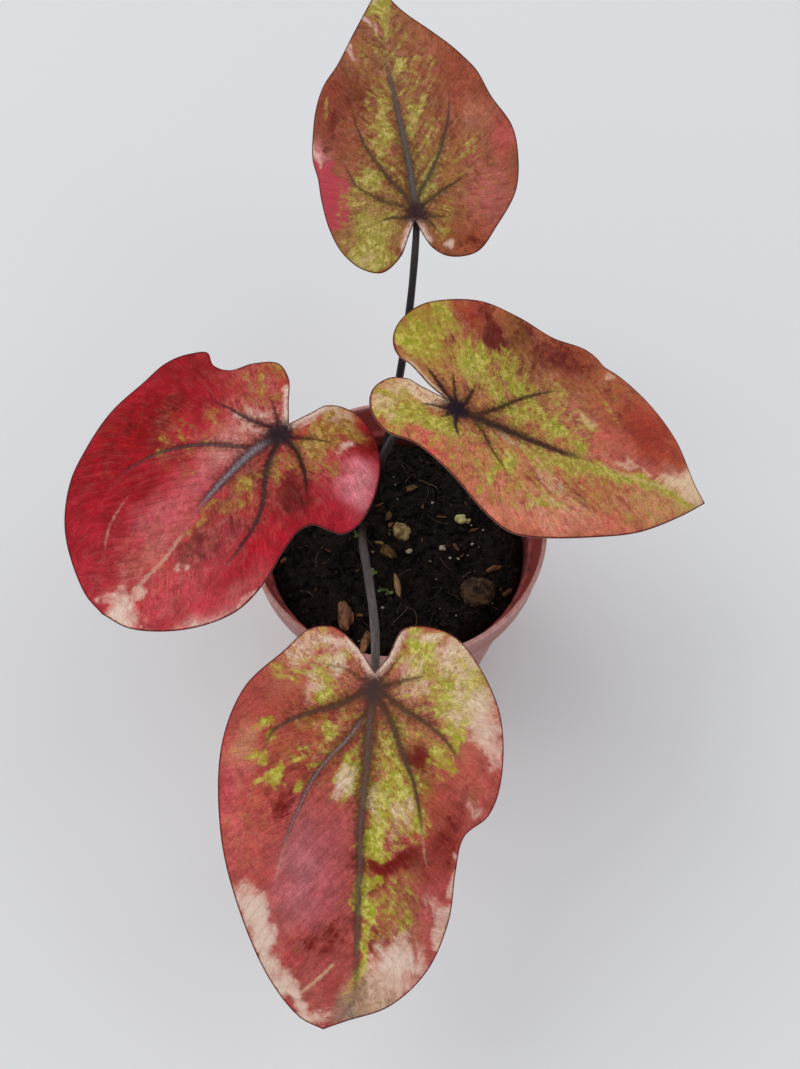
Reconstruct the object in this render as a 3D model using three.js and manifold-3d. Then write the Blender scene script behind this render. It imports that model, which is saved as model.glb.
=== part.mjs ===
// Caladium in its nursery pot: four heart-shaped blades on dark petioles that rise from one tuber.
// Units are millimetres and +Z is up. The origin is the centre of the pot's foot, on the ground,
// and -Y is the side towards which the lowest leaf hangs.
import * as THREE from 'three';
import { mergeVertices } from 'three/addons/utils/BufferGeometryUtils.js';
import Module from 'manifold-3d';

const wasm = await Module();
wasm.setup();

// ---- driving dimensions ----

const gap = 0.3; // clearance between two pieces that touch on the real plant

const pot = {
  height: 95,
  rimRadius: 55,
  footRadius: 38.5,
  wall: 1.4,
  floor: 1.8,
  collarHeight: 15, // from the shoulder step up to the rim
  collarStep: 3, // how far the collar stands out from the tapered wall
  bead: 2, // thickness of the rolled rim
  beadHeight: 2.4,
  drains: 6,
  drainRadius: 4,
  drainCircle: 25,
  sides: 40,
};

const soil = { top: 79, roughness: 1.1, rings: 7, sides: 36 };

const tuber = {
  centre: [-10, 18, 59],
  radii: [14, 13, 10.5],
  roots: 6,
  rootLength: 19,
  rootRadius: 0.9,
};

const blade = {
  thickness: 0.9,
  raysPerSide: 32, // points along each margin, from the tip to the sinus
  rings: 6,
  foldStart: 3, // half width of the midrib's shallow trough
};

const petiole = { sides: 8, steps: 20, baseRadius: 1.7, topRadius: 1.35 };

// Each leaf has its own frame: u runs from the petiole's joint to the tip, v to the left of it and
// h up off the blade. "joint" is that point in the pot's frame, "heading" the compass direction of
// the tip (0 is +X), "dip" how far the midrib falls, and "roll" how far the left half is lowered.
// Both margins are listed from the tip to the sinus as [u, v]. "stalk" is the petiole's Bezier
// curve from the tuber, and ends at the joint. A dent is [u, v, reach, lift]. "hub" is the point on
// the midrib from which every stretch of the margin can be seen, where the blade's fan starts.
const leaves = {
  front: {
    joint: [-6.6, -86, 145.4],
    heading: -95.2, dip: 23.6, roll: 9.5,
    tipDroop: 10, lobeDroop: 6, fold: 0.1, leftDroop: 7, rightDroop: 6, ripple: 0.5,
    hub: [0, 0],
    tip: [99, -5],
    leftMargin: [[95.5, 2], [90, 13], [79, 23], [65, 28], [51, 29], [41, 31], [34.5, 37.5],
      [20, 40], [5, 38.5], [-8, 31.5], [-17, 23], [-19.5, 14], [-18, 7], [-10, 3.2]],
    sinus: [-5, -0.3],
    rightMargin: [[96, -12], [85, -22], [64, -33], [43, -40], [19, -42], [2, -37], [-9, -27],
      [-16, -20], [-17, -13], [-12, -6]],
    dents: [[42, 35, 10, -3.5], [24, 38, 10, 1.5]],
    stalk: [[-10, 14, 66], [-19, -5, 112], [-4, -50, 139]],
  },
  left: {
    joint: [-35.5, -13.2, 170],
    heading: -132.2, dip: 3.5, roll: 6.8,
    tipDroop: 15, lobeDroop: 5, fold: 0.06, leftDroop: 12, rightDroop: -1, ripple: 0.4,
    hub: [12, 0],
    tip: [74, 0],
    leftMargin: [[71.8, 9.5], [65, 18.5], [56, 25], [46, 28.6], [35, 28.4], [25, 26], [17.5, 24.7],
      [13, 26.2], [10.8, 30], [8.5, 34], [3, 35.6], [-7, 33], [-16, 26.8], [-20.8, 19], [-22, 11],
      [-18.8, 4], [-11, 1.8]],
    sinus: [-4, 0],
    rightMargin: [[73, -9], [65, -25], [54, -34], [43, -38], [31, -40.5], [18, -41],
      [8, -41], [0, -38.5], [-4.4, -35.6], [-2.8, -31.5], [-5, -26.5], [-12, -23],
      [-17.5, -18], [-16, -12], [-9, -5]],
    dents: [[-3, -32, 8, -2], [15, 30, 9, -4], [28, -38, 12, 1.5]],
    stalk: [[-12.5, 17.5, 66], [-20, 14, 105], [-28, 2, 140]],
  },
  right: {
    joint: [17.9, -7.2, 174.7],
    heading: -3.7, dip: 23.7, roll: 4.5,
    tipDroop: 6, lobeDroop: 6, fold: 0.06, leftDroop: -1, rightDroop: 5, ripple: 0.4,
    hub: [0, 0],
    tip: [96, 0],
    leftMargin: [[91, 6], [83, 20], [72, 31.6], [61, 36.8], [55, 38.8], [52.4, 41.4], [48, 43.3],
      [35, 43.2], [20, 44.2], [7, 45.5], [-5, 41.5], [-15, 35], [-20.5, 26], [-20, 17], [-11, 6.5]],
    sinus: [-4, 1.6],
    rightMargin: [[85, -9], [65, -23], [48, -31], [32, -36], [19, -37.5], [9.5, -33.5], [-2, -24.5],
      [-12, -17.5], [-21.5, -14.5], [-26, -6], [-25.5, 1.5], [-20.5, 5], [-11, 3.4]],
    dents: [[34, 42, 10, -1.5], [60, 36, 10, 1.2], [-20, 6, 7, 2]],
    stalk: [[-8, 19, 66], [-11, 21, 108], [2, 13, 150]],
  },
  back: {
    joint: [6.7, 93.7, 156.7],
    heading: 101.6, dip: -25, roll: 11.7,
    tipDroop: 4, lobeDroop: 5, fold: 0.1, leftDroop: 8, rightDroop: 6, ripple: 0.5,
    hub: [0, 0],
    tip: [89, -2],
    leftMargin: [[84, 1.5], [72, 10], [61, 18.4], [55, 25], [47, 29.8], [37, 33], [29, 34],
      [21, 33.2], [13, 33.4], [2, 32.5], [-8, 29.4], [-15.5, 23.5], [-18.5, 16], [-14, 8], [-8, 4]],
    sinus: [-3, 1],
    rightMargin: [[78, -8.6], [67, -17.8], [56, -26.5], [49, -31], [37, -34.5], [25, -40],
      [13, -40], [0, -36.5], [-11, -27.5], [-18.5, -19], [-18, -9], [-13, -3]],
    dents: [[51, -30, 8, -2], [38, 32, 8, -1.5]],
    stalk: [[-10.5, 22.5, 66], [-2, 38, 105], [6.6, 62, 140]],
  },
};

// Loose bits that lie half sunk in the soil: place on it, size, turn about Z, and roughness.
const litter = {
  stone: { at: [30, -21], size: [13, 11.5, 8], turn: 20, rough: 0.1, colour: 0x4a3a33 },
  pumice: { at: [1.5, 4.5], size: [6.2, 8, 5], turn: 30, rough: 0.16, colour: 0xb9a67c },
  bark_long: { at: [-19, -31], size: [5.6, 12, 2.6], turn: 8, rough: 0.14, colour: 0x6d4d38 },
  bark_short: { at: [-11.5, -41], size: [3.6, 8.5, 2.4], turn: -12, rough: 0.14, colour: 0x7d5f45 },
  bark_curl: { at: [0, -17.5], size: [2.4, 9.5, 2.2], turn: 10, rough: 0.12, colour: 0x8a7658 },
};

const finishes = {
  potPlastic: { color: 0xa5655b, roughness: 0.55, metalness: 0 },
  peat: { color: 0x1d1613, roughness: 0.95, metalness: 0 },
  tuberSkin: { color: 0x6b4f38, roughness: 0.9, metalness: 0 },
  stalk: { color: 0x2f2426, roughness: 0.45, metalness: 0 },
  blade: { color: 0xb0394a, roughness: 0.42, metalness: 0 },
};

// ---- helpers ----

// A closed geometry becomes a solid; one wound inside out is turned the right way first.
function toSolid(geometry) {
  geometry.deleteAttribute('normal');
  geometry.deleteAttribute('uv');
  const merged = mergeVertices(geometry, 1e-4);
  const points = merged.attributes.position.array;
  const faces = Array.from(merged.index.array);
  const solid = new wasm.Manifold(meshOf(points, faces));
  return solid.volume() > 0 ? solid : new wasm.Manifold(meshOf(points, faces.reverse()));
}

function meshOf(points, faces) {
  return new wasm.Mesh({
    numProp: 3,
    vertProperties: Float32Array.from(points),
    triVerts: Uint32Array.from(faces),
  });
}

function toGeometry(solid) {
  const mesh = solid.getMesh();
  const geometry = new THREE.BufferGeometry();
  geometry.setAttribute('position', new THREE.BufferAttribute(mesh.vertProperties, 3));
  geometry.setIndex(new THREE.BufferAttribute(mesh.triVerts, 1));
  geometry.computeVertexNormals();
  return geometry;
}

function part(name, solid, finish) {
  const mesh = new THREE.Mesh(toGeometry(solid), new THREE.MeshStandardMaterial(finish));
  mesh.name = name;
  return mesh;
}

// Turns a profile of [radius, height] points, from axis to axis, about +Z.
function turned(profile, sides) {
  const outline = profile.map(([radius, height]) => new THREE.Vector2(radius, height));
  return new THREE.LatheGeometry(outline, sides).rotateX(Math.PI / 2);
}

// A round stem of changing radius along a curve, closed by a fan at each end.
function taperedTube(curve, startRadius, endRadius, sides, steps) {
  const frames = curve.computeFrenetFrames(steps, false);
  const points = [];
  const faces = [];
  for (let step = 0; step <= steps; step += 1) {
    const t = step / steps;
    const centre = curve.getPointAt(t);
    const radius = THREE.MathUtils.lerp(startRadius, endRadius, t);
    for (let side = 0; side < sides; side += 1) {
      const angle = (side / sides) * 2 * Math.PI;
      const point = centre.clone()
        .addScaledVector(frames.normals[step], radius * Math.cos(angle))
        .addScaledVector(frames.binormals[step], radius * Math.sin(angle));
      points.push(point.x, point.y, point.z);
    }
  }
  const at = (step, side) => step * sides + (side % sides);
  for (let step = 0; step < steps; step += 1) {
    for (let side = 0; side < sides; side += 1) {
      faces.push(at(step, side), at(step, side + 1), at(step + 1, side + 1));
      faces.push(at(step, side), at(step + 1, side + 1), at(step + 1, side));
    }
  }
  for (let side = 1; side < sides - 1; side += 1) {
    faces.push(at(0, 0), at(0, side + 1), at(0, side));
    faces.push(at(steps, 0), at(steps, side), at(steps, side + 1));
  }
  return indexed(points, faces);
}

function indexed(points, faces) {
  const geometry = new THREE.BufferGeometry();
  geometry.setAttribute('position', new THREE.Float32BufferAttribute(points, 3));
  geometry.setIndex(faces);
  return geometry;
}

// A rounded, uneven lump: a ball whose radius swells and shrinks in a few long waves.
function lump(radii, rough, detail, grow = 0) {
  const geometry = new THREE.IcosahedronGeometry(1, detail);
  const position = geometry.attributes.position;
  for (let i = 0; i < position.count; i += 1) {
    const p = new THREE.Vector3().fromBufferAttribute(position, i);
    const waves = Math.sin(2.6 * p.x + 4 * p.y) + Math.sin(3.4 * p.z - 2.2 * p.x) + Math.cos(5 * p.y);
    const swell = 1 + (rough * waves) / 3;
    const sized = radii.map((radius) => radius * swell + grow);
    position.setXYZ(i, p.x * sized[0], p.y * sized[1], p.z * sized[2]);
  }
  return geometry;
}

// ---- pot ----

const shoulder = pot.height - pot.collarHeight;
const shoulderRadius = pot.rimRadius - pot.collarStep - 1;

function wallRadius(height) {
  return THREE.MathUtils.lerp(pot.footRadius, shoulderRadius - 0.4, height / shoulder);
}

function makePot() {
  const { height, rimRadius, wall, floor, bead, beadHeight } = pot;
  const collar = rimRadius - 0.8;
  const profile = [
    [0, 0],
    [pot.footRadius - 1.5, 0],
    [pot.footRadius, 1.5],
    [wallRadius(shoulder - 1), shoulder - 1],
    [collar - 1, shoulder],
    [collar - 0.8, shoulder + 1],
    [collar, height - beadHeight - 0.6],
    [rimRadius, height - beadHeight],
    [rimRadius, height - 0.6],
    [rimRadius - 0.6, height],
    [rimRadius - bead + 0.5, height],
    [rimRadius - bead, height - 0.5],
    [collar - 0.8 - wall, shoulder + 2.6],
    [wallRadius(shoulder) - wall + 0.3, shoulder + 1.5],
    [wallRadius(shoulder - 1) - wall, shoulder - 0.4],
    [wallRadius(floor) - wall, floor],
    [0, floor],
  ];
  let body = toSolid(turned(profile, pot.sides));
  for (let i = 0; i < pot.drains; i += 1) {
    const angle = ((i + 0.5) / pot.drains) * 2 * Math.PI;
    const drill = new THREE.CylinderGeometry(pot.drainRadius, pot.drainRadius, 3 * floor, 16);
    drill.rotateX(Math.PI / 2);
    drill.translate(pot.drainCircle * Math.cos(angle), pot.drainCircle * Math.sin(angle), floor / 2);
    body = body.subtract(toSolid(drill));
  }
  return body;
}

// ---- soil ----

// The top is lumpy: three crossed waves that die out towards the wall.
function soilHeight(x, y) {
  const waves = Math.sin(0.21 * x + 0.08 * y) + Math.sin(0.17 * y - 0.3 * x + 1) + Math.sin(0.43 * y + 2);
  return soil.top + (soil.roughness * waves) / 1.6;
}

function makeSoil() {
  const inner = (height) => wallRadius(height) - pot.wall - gap;
  const bottom = pot.floor + gap;
  const edge = inner(soil.top - 3);
  const profile = [[0, bottom], [inner(bottom) - 0.2, bottom], [edge, soil.top - 3]];
  for (let ring = soil.rings; ring >= 0; ring -= 1) {
    profile.push([(edge * ring) / soil.rings, soil.top]);
  }
  const geometry = turned(profile, soil.sides);
  const position = geometry.attributes.position;
  for (let i = 0; i < position.count; i += 1) {
    if (position.getZ(i) > soil.top - 0.1) {
      position.setZ(i, soilHeight(position.getX(i), position.getY(i)));
    }
  }
  return toSolid(geometry);
}

function makeLitter({ at: [x, y], size, turn, rough }, grow) {
  const bit = lump(size.map((length) => length / 2), rough, 1, grow);
  bit.rotateZ(THREE.MathUtils.degToRad(turn));
  bit.translate(x, y, soilHeight(x, y) + size[2] / 6);
  return toSolid(bit);
}

// ---- tuber ----

// The tuber's main roots leave its shoulder all round and run down and outwards.
function makeTuber(grow) {
  const centre = new THREE.Vector3(...tuber.centre);
  let body = toSolid(lump(tuber.radii, 0.07, 2, grow).translate(...tuber.centre));
  for (let i = 0; i < tuber.roots; i += 1) {
    const angle = (i / tuber.roots) * 2 * Math.PI + 0.4 * Math.sin(3 * i);
    const away = new THREE.Vector3(Math.cos(angle), Math.sin(angle), 0);
    const start = centre.clone().addScaledVector(away, tuber.radii[0] * 0.7);
    const middle = start.clone().addScaledVector(away, tuber.rootLength * 0.35);
    const end = start.clone().addScaledVector(away, tuber.rootLength * 0.4);
    middle.z -= tuber.rootLength * 0.25;
    end.z -= tuber.rootLength * (1 + 0.2 * Math.cos(5 * i));
    const curve = new THREE.QuadraticBezierCurve3(start, middle, end);
    const root = taperedTube(curve, tuber.rootRadius + grow, tuber.rootRadius / 2 + grow, 6, 5);
    body = body.add(toSolid(root));
  }
  return body;
}

// ---- leaves ----

// Height of the blade's upper face over its own flat frame.
function bladeHeight(leaf, u, v) {
  const tipFall = leaf.tipDroop * (Math.max(u, 0) / 90) ** 2;
  const lobeFall = leaf.lobeDroop * (Math.min(u, 0) / 30) ** 2;
  const trough = leaf.fold * (Math.hypot(v, blade.foldStart) - blade.foldStart);
  const sideFall = (v > 0 ? leaf.leftDroop : leaf.rightDroop) * (Math.abs(v) / 40) ** 2.5;
  const ripple = leaf.ripple * Math.sin(7 * Math.atan2(v, u)) * (Math.hypot(u, v) / 40) ** 2;
  let height = trough + ripple - tipFall - lobeFall - sideFall;
  for (const [dentU, dentV, reach, lift] of leaf.dents) {
    height += lift * Math.exp(-((u - dentU) ** 2 + (v - dentV) ** 2) / reach ** 2);
  }
  return height;
}

function leafFrame(leaf) {
  const heading = THREE.MathUtils.degToRad(leaf.heading);
  const dip = THREE.MathUtils.degToRad(leaf.dip);
  const roll = THREE.MathUtils.degToRad(leaf.roll);
  const turn = new THREE.Matrix4().makeRotationZ(heading)
    .multiply(new THREE.Matrix4().makeRotationY(dip))
    .multiply(new THREE.Matrix4().makeRotationX(-roll));
  return turn.setPosition(...leaf.joint);
}

// Evenly spaced points round the margin: down the left side to the sinus and back to the tip.
function marginPoints(leaf) {
  const side = (margin) => {
    const knots = [leaf.tip, ...margin, leaf.sinus].map(([u, v]) => new THREE.Vector3(u, v, 0));
    const curve = new THREE.CatmullRomCurve3(knots, false, 'centripetal');
    return curve.getSpacedPoints(blade.raysPerSide);
  };
  const left = side(leaf.leftMargin);
  const right = side(leaf.rightMargin).reverse();
  return [...left.slice(0, -1), ...right.slice(0, -1)];
}

// The blade is a fan of rings about its hub, triangled alike on its two faces. "spread" widens
// the outline, and "above" and "below" thicken it, for the cut that keeps the petiole clear of it.
function makeBlade(leaf, { spread = 1, above = 0, below = 0 } = {}) {
  const margin = marginPoints(leaf);
  const count = margin.length;
  const [hubU, hubV] = leaf.hub;
  const upper = [leaf.hub];
  for (let ring = 1; ring <= blade.rings; ring += 1) {
    const share = (spread * ring) / blade.rings;
    for (const point of margin) {
      upper.push([hubU + (point.x - hubU) * share, hubV + (point.y - hubV) * share]);
    }
  }
  const points = [];
  for (const lift of [above, -blade.thickness - below]) {
    upper.forEach(([u, v]) => points.push(u, v, bladeHeight(leaf, u, v) + lift));
  }
  const at = (ring, ray) => (ring === 0 ? 0 : 1 + (ring - 1) * count + (ray % count));
  const top = [];
  for (let ray = 0; ray < count; ray += 1) {
    top.push([0, at(1, ray), at(1, ray + 1)]);
    for (let ring = 1; ring < blade.rings; ring += 1) {
      top.push([at(ring, ray), at(ring + 1, ray), at(ring + 1, ray + 1)]);
      top.push([at(ring, ray), at(ring + 1, ray + 1), at(ring, ray + 1)]);
    }
  }
  const under = upper.length;
  const faces = [];
  for (const [a, b, c] of top) {
    faces.push(a, b, c, c + under, b + under, a + under);
  }
  for (let ray = 0; ray < count; ray += 1) {
    const here = at(blade.rings, ray);
    const next = at(blade.rings, ray + 1);
    faces.push(here, here + under, next + under, here, next + under, next);
  }
  return toSolid(indexed(points, faces).applyMatrix4(leafFrame(leaf)));
}

function makePetiole(leaf, grow) {
  const knots = [...leaf.stalk, leaf.joint].map((place) => new THREE.Vector3(...place));
  const curve = new THREE.CubicBezierCurve3(...knots);
  const { baseRadius, topRadius, sides, steps } = petiole;
  return toSolid(taperedTube(curve, baseRadius + grow, topRadius + grow, sides, steps));
}

// ---- assembly ----

const plant = new THREE.Group();
plant.name = 'caladium';

const tuberRoom = makeTuber(gap);
let bed = makeSoil().subtract(tuberRoom);

for (const [side, leaf] of Object.entries(leaves)) {
  bed = bed.subtract(makePetiole(leaf, gap));
  const bladeRoom = makeBlade(leaf, { spread: 1.1, above: 2, below: gap });
  const stalk = makePetiole(leaf, 0).subtract(tuberRoom).subtract(bladeRoom);
  plant.add(part(`petiole_${side}`, stalk, finishes.stalk));
  plant.add(part(`blade_${side}`, makeBlade(leaf), finishes.blade));
}

for (const [name, bit] of Object.entries(litter)) {
  bed = bed.subtract(makeLitter(bit, gap));
  const finish = { color: bit.colour, roughness: 0.9, metalness: 0 };
  plant.add(part(name, makeLitter(bit, 0), finish));
}

plant.add(part('tuber', makeTuber(0), finishes.tuberSkin));
plant.add(part('soil', bed, finishes.peat));
plant.add(part('pot', makePot(), finishes.potPlastic));

export default plant;
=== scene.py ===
import math
import random
from functools import reduce

import bmesh
import bpy
import numpy as np
from mathutils import Matrix, Vector
from mathutils.geometry import delaunay_2d_cdt
from mathutils.kdtree import KDTree


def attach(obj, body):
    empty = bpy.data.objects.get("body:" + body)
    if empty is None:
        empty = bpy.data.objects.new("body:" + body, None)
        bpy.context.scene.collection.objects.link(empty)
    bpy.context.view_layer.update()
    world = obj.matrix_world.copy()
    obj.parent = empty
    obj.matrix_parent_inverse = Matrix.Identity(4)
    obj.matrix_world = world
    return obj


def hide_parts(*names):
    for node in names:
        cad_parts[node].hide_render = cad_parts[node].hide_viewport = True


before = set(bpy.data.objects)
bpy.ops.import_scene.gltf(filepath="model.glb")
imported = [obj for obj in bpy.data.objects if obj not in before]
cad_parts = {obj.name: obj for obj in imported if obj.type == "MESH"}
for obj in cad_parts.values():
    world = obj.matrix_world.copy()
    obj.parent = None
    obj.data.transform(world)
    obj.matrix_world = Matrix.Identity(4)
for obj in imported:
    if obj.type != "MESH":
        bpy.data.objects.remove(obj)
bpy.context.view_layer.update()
mm = 0.001
print("stage: frame loaded,", len(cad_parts), "solids")


# Camera, light and floor

scene = bpy.context.scene

shot = {
    "place": (0.883, -206.154, 443.169),
    "tilt": 30,  # degrees from looking straight down
    "lens": 37.04,
    "sensor": 36,
    "nearest": 10,
}

studio = {
    "skyColour": (0.95, 0.97, 1.0),
    "skyStrength": 0.52,
    "floorColour": (0.82, 0.83, 0.845),
    "floorShade": 0.97,  # the faint cloud in the paper
    "floorSize": 9000,
    "lamps": [  # place, size, watts, colour
        [(-1700, 700, 2600), 2600, 36, (1.0, 0.98, 0.96)],
        [(1700, -500, 2600), 2600, 20, (0.97, 0.98, 1.0)],
    ],
    "aim": (0, 0, 120),
    "sheen": (0.016, 0.88, 0.002),  # lift and gain of a lit leaf, and the least that is left
}


def newObject(name, data):
    item = bpy.data.objects.new(name, data)
    scene.collection.objects.link(item)
    return item


def setUpStudio():
    camera = newObject("camera", bpy.data.cameras.new("camera"))
    camera.location = Vector(shot["place"]) * mm
    camera.rotation_euler = (math.radians(shot["tilt"]), 0, 0)
    camera.data.lens = shot["lens"]
    camera.data.sensor_width = shot["sensor"]
    camera.data.clip_start = shot["nearest"] * mm
    scene.camera = camera
    scene.view_settings.view_transform = "Standard"

    sky = bpy.data.worlds.new("sky")
    sky.use_nodes = True
    backdrop = sky.node_tree.nodes["Background"].inputs
    backdrop["Color"].default_value = (*studio["skyColour"], 1)
    backdrop["Strength"].default_value = studio["skyStrength"]
    scene.world = sky

    for index, (place, size, watts, colour) in enumerate(studio["lamps"]):
        lamp = newObject(f"lamp{index}", bpy.data.lights.new(f"lamp{index}", "AREA"))
        lamp.data.size = size * mm
        lamp.data.energy = watts
        lamp.data.color = colour
        lamp.location = Vector(place) * mm
        aim = Vector(studio["aim"]) * mm - lamp.location
        lamp.rotation_euler = aim.to_track_quat("-Z", "Y").to_euler()


setUpStudio()


# Small helpers for colours, shader nodes and meshes. A new node joins the tree that its inputs are in.

def paint(red, green, blue):
    # An 8-bit display colour as linear light, by the standard curve.
    shares = [channel / 255 for channel in (red, green, blue)]
    return tuple(s / 12.92 if s < 0.04045 else ((s + 0.055) / 1.055) ** 2.4 for s in shares)


def leafPaint(red, green, blue):
    # The skin's own colour, without the sheen that the studio lays over it.
    lift, gain, least = studio["sheen"]
    return tuple(max(least, (channel - lift) / gain) for channel in paint(red, green, blue))


def mixPaint(share, first, second):
    return tuple(a * (1 - share) + b * share for a, b in zip(first, second))


def isSocket(value):
    return isinstance(value, bpy.types.NodeSocket)


def feed(value, socket):
    # Links an output to a socket, or sets the socket to a value.
    if isSocket(value):
        socket.id_data.links.new(value, socket)
    else:
        socket.default_value = value


def addNode(tree, kind, inputs=None, **settings):
    node = tree.nodes.new(kind)
    for key, value in settings.items():
        setattr(node, key, value)
    for key, value in (inputs or {}).items():
        feed(value, node.inputs[key])
    return node


def joinNode(kind, inputs, **settings):
    tree = next(value.id_data for value in inputs.values() if isSocket(value))
    return addNode(tree, kind, inputs, **settings)


def calc(operation, *values, clamp=False):
    inputs = dict(enumerate(values))
    return joinNode("ShaderNodeMath", inputs, operation=operation, use_clamp=clamp).outputs[0]


def add(first, second):
    return calc("ADD", first, second)


def subtract(first, second):
    return calc("SUBTRACT", first, second)


def times(first, second, clamp=False):
    return calc("MULTIPLY", first, second, clamp=clamp)


def swing(mask, amount):
    # A mask's ups and downs about its middle.
    return times(subtract(mask, 0.5), amount)


def vectorCalc(operation, first, second):
    return joinNode("ShaderNodeVectorMath", {0: first, 1: second}, operation=operation).outputs[0]


def scaled(vector, factors):
    return vectorCalc("MULTIPLY", vector, factors)


def shifted(vector, offset):
    return vectorCalc("ADD", vector, offset)


def split(vector):
    return joinNode("ShaderNodeSeparateXYZ", {0: vector}).outputs


def combine(*values):
    return joinNode("ShaderNodeCombineXYZ", dict(enumerate(values))).outputs[0]


def blendColour(share, first, second):
    # Goes from the first colour to the second as share rises.
    colours = [c if isSocket(c) else (*c, 1) for c in (first, second)]
    return joinNode("ShaderNodeMix", {0: share, 6: colours[0], 7: colours[1]}, data_type="RGBA").outputs[2]


def cover(colour, share, strength, over):
    # Lays a second colour over the first.
    return blendColour(times(share, strength), colour, over)


def ramp(value, low, high, toLow=0.0, toHigh=1.0, smooth=True):
    inputs = {"Value": value, "From Min": low, "From Max": high, "To Min": toLow, "To Max": toHigh}
    shape = "SMOOTHSTEP" if smooth else "LINEAR"
    return joinNode("ShaderNodeMapRange", inputs, interpolation_type=shape).outputs[0]


def level(value, toLow, toHigh):
    # A mask stretched evenly from one level to another.
    return ramp(value, 0.0, 1.0, toLow, toHigh, smooth=False)


def grainNoise(place, scale, detail=3.0, roughness=0.6):
    inputs = {"Vector": place, "Scale": scale, "Detail": detail, "Roughness": roughness}
    return joinNode("ShaderNodeTexNoise", inputs).outputs["Fac"]


def attribute(tree, name, output="Vector"):
    return addNode(tree, "ShaderNodeAttribute", attribute_name=name).outputs[output]


def objectPlace(tree):
    return addNode(tree, "ShaderNodeTexCoord").outputs["Object"]


def newGroup(name, inputs, outputs):
    # Inputs are {name: (kind, default)}; returns the group, what it is given and what it puts out.
    group = bpy.data.node_groups.new(name, "ShaderNodeTree")
    for key, (kind, default) in inputs.items():
        socket = group.interface.new_socket(key, in_out="INPUT", socket_type=f"NodeSocket{kind}")
        if default is not None:
            socket.default_value = default
    for key, kind in outputs.items():
        group.interface.new_socket(key, in_out="OUTPUT", socket_type=f"NodeSocket{kind}")
    return group, group.nodes.new("NodeGroupInput").outputs, group.nodes.new("NodeGroupOutput").inputs


def placeGroup(group, inputs):
    return joinNode("ShaderNodeGroup", inputs, node_tree=group).outputs


def newMaterial(name, **shader):
    material = bpy.data.materials.new(name)
    material.use_nodes = True
    surface = material.node_tree.nodes["Principled BSDF"].inputs
    for key, value in shader.items():
        surface[key].default_value = value
    return material, material.node_tree, surface


def giveRelief(surface, height, strength, depth):
    inputs = {"Height": height, "Strength": strength, "Distance": depth * mm}
    feed(joinNode("ShaderNodeBump", inputs).outputs[0], surface["Normal"])


def addPiece(name, points, faces, material, replaced=(), values=None):
    # A mesh from points in millimetres, with its own point attributes, riding on the plant.
    mesh = bpy.data.meshes.new(name)
    mesh.from_pydata((np.asarray(points) * mm).tolist(), [], [tuple(face) for face in faces])
    for key, data in (values or {}).items():
        kind, field = ("FLOAT", "value") if data.ndim == 1 else ("FLOAT_VECTOR", "vector")
        mesh.attributes.new(key, kind, "POINT").data.foreach_set(field, data.astype(np.float32).ravel())
    mesh.polygons.foreach_set("use_smooth", [True] * len(mesh.polygons))
    mesh.update()
    mesh.materials.append(material)
    piece = newObject(name, mesh)
    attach(piece, "root")
    if replaced:
        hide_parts(*replaced)
    return piece


# Leaves. Each leaf has its own frame: u runs from the petiole's joint to the tip, v to its left.
# A vein is [width at the joint, pigment, how far the pigment reaches, painted sheen, path], where the
# painted sheen is a pale silver highlight along the vein's middle, and the veins of a side go from the
# one nearest the tip to the one nearest the sinus. A patch is [u, v, half length, half width, share,
# turn], where a negative share clears and the turn may be left out. A tint is a patch with a colour in
# front; most tints are the leaf's own colours, and some paint its sheen highlights and a few shadows.
# A pale line is [width, share, path].

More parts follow.
